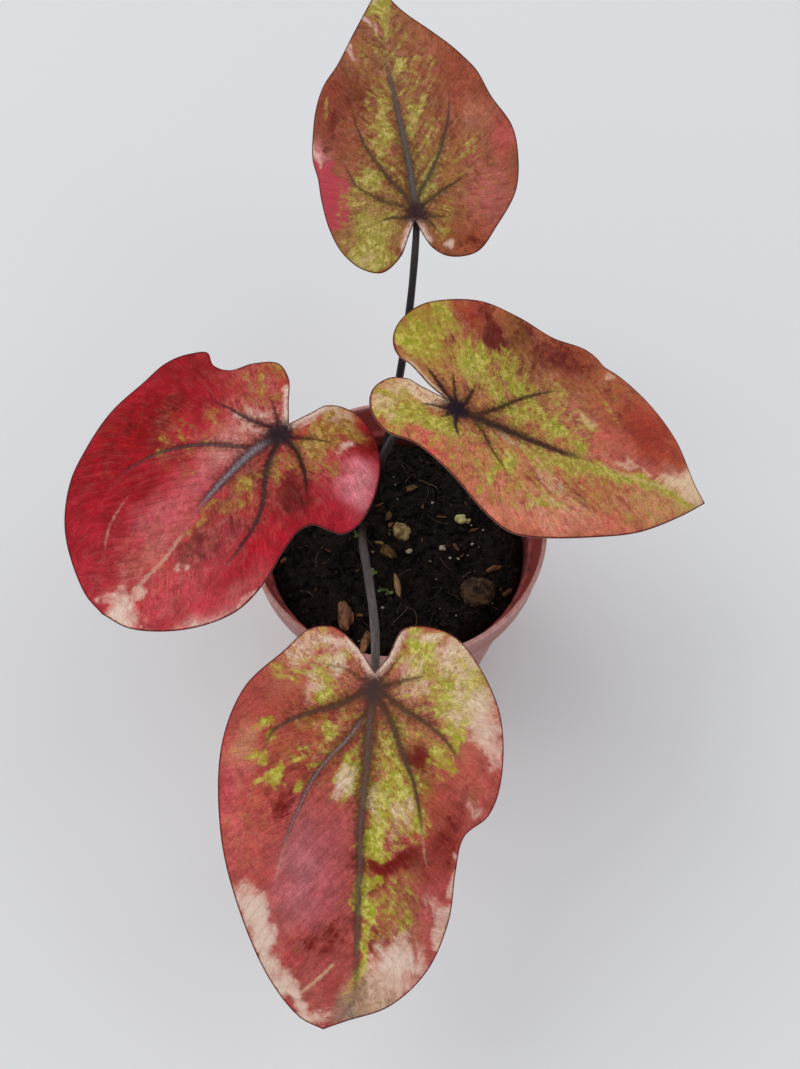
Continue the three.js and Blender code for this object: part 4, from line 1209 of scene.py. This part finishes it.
pot = {
    "height": 95, "rim": 55, "foot": 38.5, "wall": 1.4, "floor": 1.8,
    "shoulder": 80, "collar": 54.5, "bead": 1.6, "beadHeight": 2.4,
    "ledge": 4.4,  # how far the wall stands inside the rim at the shoulder
    "lining": 1.9,  # wall below the shoulder, seen from inside
    "corner": 0.9,
    "drains": 6, "drainRadius": 4, "drainCircle": 25, "drillLength": 12,
    "sides": 160,
    # The inside colour is a darker, deeper red than the same plastic outside: painted shade within the pot.
    "plastic": (166, 104, 96), "edge": (200, 150, 144), "inside": (162, 70, 67), "dust": (70, 42, 36),
    "shade": 0.95,  # the darker clouds in the plastic
    "paleRim": (92.4, 94.6),  # heights between which the rim turns to the edge's colour: rubbed wear and a painted highlight
    "grime": 0.75, "scuffs": 0.25,
    "gloss": (0.38, 0.55), "relief": (0.4, 0.06),
}


def wallRadius(height):
    top = pot["rim"] - pot["ledge"]
    return pot["foot"] + (top - pot["foot"]) * height / pot["shoulder"]


def roundCorners(profile, radius, steps=4):
    # Replaces each inner corner of a profile by a short arc.
    points = [profile[0]]
    for before, here, after in zip(profile, profile[1:], profile[2:]):
        here = Vector(here)
        ways = [Vector(before) - here, Vector(after) - here]
        cut = min(radius, *(0.42 * way.length for way in ways))
        start, end = (here + way.normalized() * cut for way in ways)
        for step in range(steps + 1):
            t = step / steps
            points.append(tuple((1 - t) ** 2 * start + 2 * t * (1 - t) * here + t**2 * end))
    return [*points, profile[-1]]


def lathe(profile, sides):
    # A closed body turned about Z from a profile that starts and ends on the axis.
    inner = profile[1:-1]
    turns = [math.tau * i / sides for i in range(sides)]
    points = [(0, 0, profile[0][1])]
    for radius, height in inner:
        points += [(radius * math.cos(turn), radius * math.sin(turn), height) for turn in turns]
    points.append((0, 0, profile[-1][1]))
    last = len(points) - 1
    faces = []
    for i in range(sides):
        j = (i + 1) % sides
        faces += [(0, 1 + j, 1 + i), (last, last - sides + i, last - sides + j)]
        for ring in range(len(inner) - 1):
            a, b = 1 + ring * sides + i, 1 + ring * sides + j
            faces.append((a, b, b + sides, a + sides))
    return points, faces


def potMaterial():
    material, tree, surface = newMaterial("pot_plastic")
    plastic, edge, inner, dust = (paint(*pot[key]) for key in ("plastic", "edge", "inside", "dust"))
    where = scaled(objectPlace(tree), (1000, 1000, 1000))
    x, y, z = split(where)
    radius = calc("SQRT", add(calc("POWER", x, 2.0), calc("POWER", y, 2.0)))
    inside = attribute(tree, "inside", "Fac")
    cloud = grainNoise(where, 0.06, 4.0)
    clouded = paint(*(channel * pot["shade"] for channel in pot["plastic"]))
    # The inner faces take the darker inside colour: painted shade.
    colour = blendColour(inside, blendColour(ramp(cloud, 0.35, 0.65), plastic, clouded), inner)
    # The rim's top painted paler all round: partly rubbed wear, partly a painted highlight on the lip.
    rimWearAndHighlight = ramp(grainNoise(where, 0.5, 4.0), 0.35, 0.6, 0.45, 1.0)
    colour = cover(colour, ramp(z, *pot["paleRim"]), rimWearAndHighlight, edge)
    grime = ramp(add(grainNoise(where, 0.35, 5.0), times(z, -0.03)), -2.0, -1.86)
    colour = cover(colour, times(grime, inside), pot["grime"], dust)
    scuffs = ramp(grainNoise(scaled(where, (0.5, 0.5, 2.2)), 0.4, 5.0), 0.6, 0.74)
    feed(cover(colour, scuffs, pot["scuffs"], edge), surface["Base Color"])
    feed(ramp(cloud, 0.3, 0.7, *pot["gloss"]), surface["Roughness"])
    rings = calc("SINE", times(radius, 5.0))
    giveRelief(surface, add(grainNoise(where, 2.2), times(rings, 0.05)), *pot["relief"])
    return material


def makePot():
    height, rim, collar, shoulder = pot["height"], pot["rim"], pot["collar"], pot["shoulder"]
    foot, bead, lining = pot["foot"], height - pot["beadHeight"], wallRadius(shoulder) - pot["lining"]
    outer = [
        (0, 0), (foot - 6, 0), (foot - 1.2, 0.0), (foot, 1.2), (wallRadius(shoulder - 1), shoulder - 1),
        (collar - 1, shoulder), (collar - 0.7, shoulder + 1.2), (collar, bead - 0.8), (rim, bead),
        (rim, height), (rim - pot["bead"], height),
    ]
    inner = [
        (rim - pot["bead"], height - 1.4), (collar - 2.6 - pot["wall"], shoulder + 2.6),
        (lining + 0.3, shoulder + 1.5), (lining, shoulder - 0.4),
        (wallRadius(pot["floor"]) - pot["lining"], pot["floor"]), (0, pot["floor"]),
    ]
    profile = roundCorners([*outer, *inner], pot["corner"])
    points, faces = lathe(profile, pot["sides"])
    turn = max(range(len(profile)), key=lambda i: profile[i][1] - 0.02 * profile[i][0])
    inside = np.repeat([float(ring >= turn) for ring in range(1, len(profile) - 1)], pot["sides"])
    piece = addPiece("pot_shell", points, faces, potMaterial(), ["pot"],
                     {"inside": np.concatenate([[0.0], inside, [1.0]])})
    drillDrains(piece)
    print("stage: pot")


def drillDrains(piece):
    drills = bmesh.new()
    for i in range(pot["drains"]):
        angle = (i + 0.5) / pot["drains"] * math.tau
        place = Matrix.Translation(Vector((math.cos(angle), math.sin(angle), 0)) * pot["drainCircle"] * mm)
        radius = pot["drainRadius"] * mm
        bmesh.ops.create_cone(drills, cap_ends=True, segments=32, radius1=radius, radius2=radius,
                              depth=pot["drillLength"] * mm, matrix=place)
    tool = newObject("drill", bpy.data.meshes.new("drill"))
    drills.to_mesh(tool.data)
    drills.free()
    cut = piece.modifiers.new("drains", "BOOLEAN")
    cut.operation = "DIFFERENCE"
    cut.object = tool
    bpy.context.view_layer.update()
    result = bpy.data.meshes.new_from_object(piece.evaluated_get(bpy.context.evaluated_depsgraph_get()))
    piece.modifiers.clear()
    piece.data = result
    bpy.data.objects.remove(tool)


makePot()


# Soil and what lies on it

soil = {
    "top": 79, "roughness": 1.1, "foot": 2.1, "grid": 0.62, "edgeSides": 240,
    "dip": (3.2, 42.5, 48),  # how far it sinks beside the wall, between two radii
    "crumbs": 2600,  # small crumbs that shape the surface itself
    "crumbRadius": 2.4, "crumbRise": 0.62, "crumbSink": 0.7,
    "ripples": ((5, 1.6, 0.14), (6, 0.9, 0.08)),  # seed, length and amount
    "chips": 46, "grains": 26,
    "reach": 46,  # how far out the loose bits lie
    "rest": 0.7, "chipRest": 0.6,  # how far above the soil's mean height their middles lie
    "peat": (22, 18, 16), "peatDark": (7, 6, 6), "peatWarm": (37, 29, 24), "peatFleck": (70, 66, 68),
}


def soilHeight(x, y):
    waves = np.sin(0.21 * x + 0.08 * y) + np.sin(0.17 * y - 0.3 * x + 1) + np.sin(0.43 * y + 2)
    dip, *radii = soil["dip"]
    return soil["top"] + soil["roughness"] * waves / 1.6 - dip * fade(np.hypot(x, y), *radii)


def onSoil(x, y, lift=0.0):
    return np.array([x, y, float(soilHeight(x, y)) + lift])


def soilEdge(height):
    return wallRadius(height) - pot["lining"] - 0.3


def ballMesh(divisions):
    ball = bmesh.new()
    bmesh.ops.create_icosphere(ball, subdivisions=divisions, radius=1)
    points = np.array([vertex.co[:] for vertex in ball.verts])
    faces = np.array([[vertex.index for vertex in face.verts] for face in ball.faces])
    ball.free()
    return points, faces


balls = {divisions: ballMesh(divisions) for divisions in (2, 3, 4, 5)}


def lump(rng, divisions, size, rough, waves=7, pace=3.2):
    # An uneven lump: a ball pushed in and out by crossed waves, then stretched.
    points, faces = balls[divisions]
    swell = np.zeros(len(points))
    for _ in range(waves):
        way = np.array([rng.gauss(0, 1) for _ in range(3)])
        way *= rng.uniform(0.5, 1.8) * pace / np.linalg.norm(way)
        swell += np.sin(points @ way + rng.uniform(0, math.tau))
    return points * (1 + rough * swell / 2.2)[:, None] * np.array(size) / 2, faces


def spun(points, degrees):
    return points @ np.array(turnAbout("Z", degrees)).T


def turned(points, rng, tilt=0.6):
    ways = ((0, math.tau, "Z"), (-tilt, tilt, "X"), (-tilt, tilt, "Y"))
    spin, leanX, leanY = (Matrix.Rotation(rng.uniform(low, high), 3, axis) for low, high, axis in ways)
    return points @ np.array(spin @ (leanX @ leanY)).T


class Heap:
    # Collects many small solids into one mesh.
    def __init__(self):
        self.points, self.faces, self.shades, self.count = [], [], [], 0

    def add(self, points, faces, shade):
        self.points.append(points)
        self.faces.append(np.asarray(faces) + self.count)
        self.shades.append(np.full(len(points), shade))
        self.count += len(points)

    def finish(self, name, material, slot):
        faces = np.vstack(self.faces)
        addPiece(name, np.vstack(self.points), faces, material,
                 values={"shade": np.concatenate(self.shades)})
        print("stage:", name, len(faces), "faces")


def dustGroup():
    # Patchy fine dust and mineral bloom, for everything that lies on the soil.
    inputs = {"Colour": ("Color", None), "Dust": ("Color", None), "Amount": ("Float", 0.4),
              "Scale": ("Float", 600.0)}
    group, given, put = newGroup("soilDust", inputs, {"Colour": "Color", "Height": "Float"})
    patches = ramp(grainNoise(objectPlace(group), given["Scale"], 4.0, 0.65), 0.42, 0.62)
    feed(cover(given["Colour"], patches, given["Amount"], given["Dust"]), put["Colour"])
    feed(patches, put["Height"])
    return group


soilDust = dustGroup()


def looseMaterial(name, light, dark, dust=0.4, roughness=0.85, scale=500.0, relief=0.25,
                  contrast=0.7, stretch=(1, 1, 1), flecks=None):
    # Two tones by the piece's own shade and a fine grain, with soil dust over them.
    material, tree, surface = newMaterial(name, Roughness=roughness)
    surface["Specular IOR Level"].default_value = 0.12
    where = objectPlace(tree)
    grain = grainNoise(scaled(where, stretch), scale, 5.0, 0.65)
    mix = add(times(attribute(tree, "shade", "Fac"), 0.6), swing(grain, contrast))
    colour = blendColour(ramp(mix, 0.0, 0.6), paint(*dark), paint(*light))
    if flecks:
        colour = cover(colour, ramp(grainNoise(where, 1300.0, 2.0, 0.5), 0.6, 0.7), 0.7, paint(*flecks))
    dusty = placeGroup(soilDust, {"Colour": colour, "Dust": (*paint(*soil["peat"]), 1), "Amount": dust})
    feed(dusty["Colour"], surface["Base Color"])
    giveRelief(surface, add(grain, times(dusty["Height"], 0.3)), 0.8, relief)
    return material


def makeSoilBed(material):
    rng = random.Random(11)
    count = soil["edgeSides"]
    angles = np.linspace(0, math.tau, count, endpoint=False)
    circle = np.stack([np.cos(angles), np.sin(angles)], 1)
    edge = soilEdge(soil["top"] - 4)
    flat, triangles = fillOutline(edge * circle, soil["grid"])
    x, y = flat.T
    tree = KDTree(soil["crumbs"])
    radii = []
    for index in range(soil["crumbs"]):
        reach, angle = edge * math.sqrt(rng.random()), rng.uniform(0, math.tau)
        radii.append(rng.uniform(0.5, 1.0) ** 2 * soil["crumbRadius"])
        tree.insert((reach * math.cos(angle), reach * math.sin(angle), 0), index)
    tree.balance()
    rise = np.zeros(len(x))
    for index, point in enumerate(flat.tolist()):
        for _, crumb, gap in tree.find_n((*point, 0), 3):
            if gap < radii[crumb]:
                rise[index] = max(rise[index], soil["crumbRise"] * math.sqrt(radii[crumb] ** 2 - gap**2))
    height = soilHeight(x, y) + (rise - soil["crumbSink"]) * fade(edge - np.hypot(x, y), 0, 2.5)
    for seed, length, amount in soil["ripples"]:
        height = height + crossedWaves(seed, x, y, length, amount)
    bottom = np.column_stack([(soilEdge(soil["foot"]) - 0.2) * circle, np.full(count, soil["foot"])])
    points = np.vstack([np.column_stack([flat, height]), bottom, [[0, 0, soil["foot"]]]])
    shift = len(flat)
    wall = []
    for i in range(count):
        j = (i + 1) % count
        wall += [(i, i + shift, j + shift), (i, j + shift, j), (i + shift, shift + count, j + shift)]
    faces = np.vstack([triangles, wall])
    addPiece("soil_bed", points, faces, material, ["soil"],
             {"shade": np.concatenate([np.clip(rise / 2, 0, 1), np.zeros(count + 1)])})
    print("stage: soil bed", len(faces), "faces")


def randomSpot(rng, reach):
    distance, angle = reach * math.sqrt(rng.random()), rng.uniform(0, math.tau)
    return onSoil(distance * math.cos(angle), distance * math.sin(angle))


crumbs = {
    "count": 420, "size": (0.9, 1.9), "rough": 0.3, "reach": 47,
    "large": 1.8, "largeShare": 0.16,  # a few are this much larger
}


def makeCrumbs(material):
    rng = random.Random(21)
    heap = Heap()
    for _ in range(crumbs["count"]):
        size = rng.uniform(*crumbs["size"]) * (crumbs["large"] if rng.random() < crumbs["largeShare"] else 1)
        shape = [size, size * rng.uniform(0.6, 1), size * 0.7]
        points, faces = lump(rng, 2 if size < 2.4 else 3, shape, crumbs["rough"])
        place = turned(points, rng) + randomSpot(rng, crumbs["reach"]) + (0, 0, 0.35 * size)
        heap.add(place, faces, rng.random())
    heap.finish("peat_crumbs", material, "soil")


fibres = {
    "count": 115, "steps": 7, "reach": 43,
    "length": (3, 12), "radius": (0.1, 0.22), "thinning": 0.07,
    "bend": 1.4, "wander": 0.12,
    "paleShare": 0.24,
    "dark": [(66, 53, 46), (27, 21, 19)], "pale": [(130, 110, 92), (84, 66, 54)],
}


def makeFibres():
    rng = random.Random(31)
    dark, pale = Heap(), Heap()
    steps, wander = fibres["steps"], fibres["wander"]
    for index in range(fibres["count"]):
        start = randomSpot(rng, fibres["reach"])
        length, angle = rng.uniform(*fibres["length"]), rng.uniform(0, math.tau)
        bend = rng.uniform(-fibres["bend"], fibres["bend"])
        path = [start + (0, 0, rng.uniform(0, 0.5))]
        for step in range(steps):
            angle += bend / steps + rng.uniform(-wander, wander)
            x, y = path[-1][:2] + np.array([math.cos(angle), math.sin(angle)]) * length / steps
            inward = min(1, soil["reach"] / math.hypot(x, y))
            path.append(onSoil(x * inward, y * inward, 0.55 + 0.35 * math.sin(step + index)))
        radius = rng.uniform(*fibres["radius"])
        radii = [radius * (1 - fibres["thinning"] * i) for i in range(steps + 1)]
        points, faces, _ = tube(path, radii, 5)
        (pale if rng.random() < fibres["paleShare"] else dark).add(points, faces, rng.random())
    dark.finish("root_fibres", looseMaterial("fibre_dark", *fibres["dark"], 0.3), "soil")
    pale.finish("pale_fibres", looseMaterial("fibre_pale", *fibres["pale"], 0.35), "soil")


# Named bits, read from the object: each is at x, y with its size in x, y, z and its turn.
bits = {
    "brown": {"light": (128, 92, 62), "dark": (70, 46, 32), "slot": "bark", "pieces": [
        [35.7, -11.4, 5.5, 2.0, 1.4, 25], [40.5, -20.2, 4.6, 1.8, 1.2, 30], [-3.4, 11.7, 3.2, 1.6, 1.2, 80],
        [22.1, -1.9, 3.2, 1.4, 1.0, -60], [-43.2, -7.1, 3.0, 1.4, 1.0, 50], [-14, -31, 2.0, 1.2, 0.9, 0],
        [29, 6, 3.5, 1.1, 0.9, 20], [-2.5, 8.2, 2.2, 1.8, 1.4, 0], [17, 12, 4, 0.8, 0.7, -8]]},
    "olive": {"light": (142, 112, 64), "dark": (78, 62, 36), "slot": "bark", "pieces": [
        [-4, -3.7, 7.5, 4.2, 2.2, -38], [-6.5, -0.5, 4.5, 1.6, 1.6, -25], [4.5, 24.5, 7, 2.4, 1.4, 20],
        [-3.2, 12.5, 2.4, 2.4, 1.6, 0]]},
    "grit": {"light": (196, 188, 168), "dark": (140, 128, 108), "slot": "pumice", "pieces": [
        [4.3, -3.7, 2.0, 1.9, 1.5, 0], [16.8, -2.8, 2.4, 2.0, 1.6, 0], [-5.5, -27.2, 1.2, 1.0, 0.8, 0],
        [13.5, 18.5, 1.0, 0.9, 0.7, 0], [19.9, -6.2, 1.0, 0.9, 0.7, 0]]},
    "green_grit": {"light": (214, 216, 144), "dark": (132, 136, 74), "slot": "pumice", "pieces": [
        [24.4, 10, 4.4, 3.8, 2.6, 20], [26.3, 9.6, 1.8, 3.2, 2.2, 70]]},
}


def makeBits():
    rng = random.Random(41)
    for name, bit in bits.items():
        heap = Heap()
        for x, y, length, width, depth, turn in bit["pieces"]:
            points, faces = lump(rng, 4, [length, width, depth], 0.2)
            heap.add(spun(points, turn) + onSoil(x, y, soil["rest"]), faces, rng.uniform(0.3, 1))
        if name == "brown":
            for _ in range(soil["chips"]):
                size = [rng.uniform(1.2, 3.4), rng.uniform(0.5, 1.1), rng.uniform(0.3, 0.7)]
                points, faces = lump(rng, 3, size, 0.22)
                place = turned(points, rng, 0.4) + randomSpot(rng, soil["reach"]) + (0, 0, soil["chipRest"])
                heap.add(place, faces, rng.uniform(0, 0.5))
        if name == "grit":
            for _ in range(soil["grains"]):
                points, faces = lump(rng, 3, [rng.uniform(0.35, 0.9)] * 3, 0.25)
                place = points + randomSpot(rng, soil["reach"]) + (0, 0, soil["rest"])
                heap.add(place, faces, rng.uniform(0, 0.8))
        material = looseMaterial(f"{name}_bit", bit["light"], bit["dark"], 0.35, contrast=1.5)
        heap.finish(f"{name}_bits", material, bit["slot"])


# The five larger bits that have solids of their own: size, turn and roughness as the solids have.
litter = {
    "stone": {"at": [30, -21], "size": [13, 11.5, 8], "turn": 20, "rough": 0.1, "slot": "stone",
              "light": (96, 77, 58), "dark": (34, 27, 23), "contrast": 2.4, "grain": 260},
    "pumice": {"at": [1.5, 4.5], "size": [6.2, 8, 5], "turn": 30, "rough": 0.16, "slot": "pumice",
               "light": (206, 188, 130), "dark": (108, 80, 48), "contrast": 2.6, "grain": 300},
    "bark_long": {"at": [-19, -31], "size": [5.6, 12, 2.6], "turn": 8, "rough": 0.14, "slot": "bark",
                  "light": (156, 112, 84), "dark": (64, 43, 33), "contrast": 2.2, "grain": 420},
    "bark_short": {"at": [-11.5, -41], "size": [3.6, 8.5, 2.4], "turn": -12, "rough": 0.14, "slot": "bark",
                   "light": (176, 136, 92), "dark": (78, 54, 36), "contrast": 2.2, "grain": 420},
    "bark_curl": {"at": [0, -17.5], "size": [2.4, 9.5, 2.2], "turn": 10, "rough": 0.12, "slot": "bark",
                  "light": (180, 146, 104), "dark": (88, 62, 42), "contrast": 2.0, "grain": 420},
}
litterRelief = ((6, 0.035), (13, 0.02), (26, 0.01))  # pace and amount of the finer waves


def makeLitter():
    points, faces = balls[5]
    x, y, z = points.T
    for seed, (name, bit) in enumerate(litter.items()):
        rng = random.Random(60 + seed)
        waves = np.sin(2.6 * x + 4 * y) + np.sin(3.4 * z - 2.2 * x) + np.cos(5 * y)
        swell = 1 + bit["rough"] * waves / 3
        for pace, amount in litterRelief:
            for _ in range(4):
                way = np.array([rng.gauss(0, 1) for _ in range(3)])
                phase = rng.uniform(0, 6)
                swell = swell + amount * np.sin(points @ way * pace / np.linalg.norm(way) + phase)
        shaped = points * swell[:, None] * np.array(bit["size"]) / 2
        shaped = spun(shaped, bit["turn"]) + onSoil(*bit["at"], bit["size"][2] / 6)
        material = looseMaterial(f"{name}_finish", bit["light"], bit["dark"], 0.3, scale=bit["grain"],
                                 contrast=bit["contrast"], stretch=(1, 0.3 if "bark" in name else 1, 1))
        addPiece(f"{name}_piece", shaped, faces, material, [name],
                 {"shade": np.full(len(points), 0.5)})
    print("stage: litter")


sprouts = {
    "places": [[-9.3, -14.1], [-6.2, -20.2], [-3.4, -21], [-15.9, 2.9]],
    "stem": [(0, 0, 0), (0.1, 0, 0.9), (0.1, 0.1, 1.6)], "stemRadii": [0.22, 0.18, 0.16],
    "leaves": 3, "leafSize": (1.9, 1.3, 0.36), "leafLean": -0.35, "leafCurl": 0.12,
    "light": (112, 132, 70), "dark": (56, 76, 36),
}


def makeSprouts():
    rng = random.Random(71)
    heap = Heap()
    length = sprouts["leafSize"][0]
    ball, ballFaces = balls[3]
    for x, y in sprouts["places"]:
        foot = onSoil(x, y, 0.2)
        stem, faces, _ = tube([foot + step for step in sprouts["stem"]], sprouts["stemRadii"], 6)
        heap.add(stem, faces, 0.3)
        for i in range(sprouts["leaves"]):
            points = ball * np.array(sprouts["leafSize"]) / 2
            points[:, 2] += sprouts["leafCurl"] * points[:, 0] ** 2
            points[:, 0] += length / 2
            spin = Matrix.Rotation(math.tau * i / sprouts["leaves"] + rng.uniform(-0.4, 0.4), 3, "Z")
            lean = Matrix.Rotation(sprouts["leafLean"], 3, "Y")
            heap.add(points @ np.array(spin @ lean).T + foot + (0.1, 0.1, 1.5), ballFaces, rng.random())
    material = looseMaterial("sprout_green", sprouts["light"], sprouts["dark"], 0.12, 0.5)
    heap.finish("sprout_leaves", material, "leaf_right")


peatFinish = looseMaterial("peat", soil["peatWarm"], soil["peatDark"], 0.5, 0.88, 700.0, 0.35,
                           flecks=soil["peatFleck"])
makeSoilBed(peatFinish)
makeCrumbs(peatFinish)
makeFibres()
makeBits()
makeLitter()
makeSprouts()


# The buried tuber keeps its solid and gets a corky skin.

tuber = {
    "light": (122, 90, 62), "dark": (66, 46, 32), "dust": 0.5,
    "roughness": 0.9, "scale": 300.0, "relief": 0.4,
}


def dressTuber():
    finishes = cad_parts["tuber"].data.materials
    finishes.clear()
    finishes.append(looseMaterial("tuber_skin", **tuber))


dressTuber()


# Floor

def makeFloor():
    half = studio["floorSize"] * mm / 2
    mesh = bpy.data.meshes.new("floor")
    corners = [(x * half, y * half, 0) for x, y in ((-1, -1), (1, -1), (1, 1), (-1, 1))]
    mesh.from_pydata(corners, [], [(0, 1, 2, 3)])
    floor = newObject("floor", mesh)
    material, tree, surface = newMaterial("floor_paper", Roughness=0.9)
    tone = ramp(grainNoise(objectPlace(tree), 1.4, 2.0), 0.3, 0.7)
    soft = tuple(studio["floorShade"] * channel for channel in studio["floorColour"])
    feed(blendColour(tone, soft, studio["floorColour"]), surface["Base Color"])
    mesh.materials.append(material)


makeFloor()
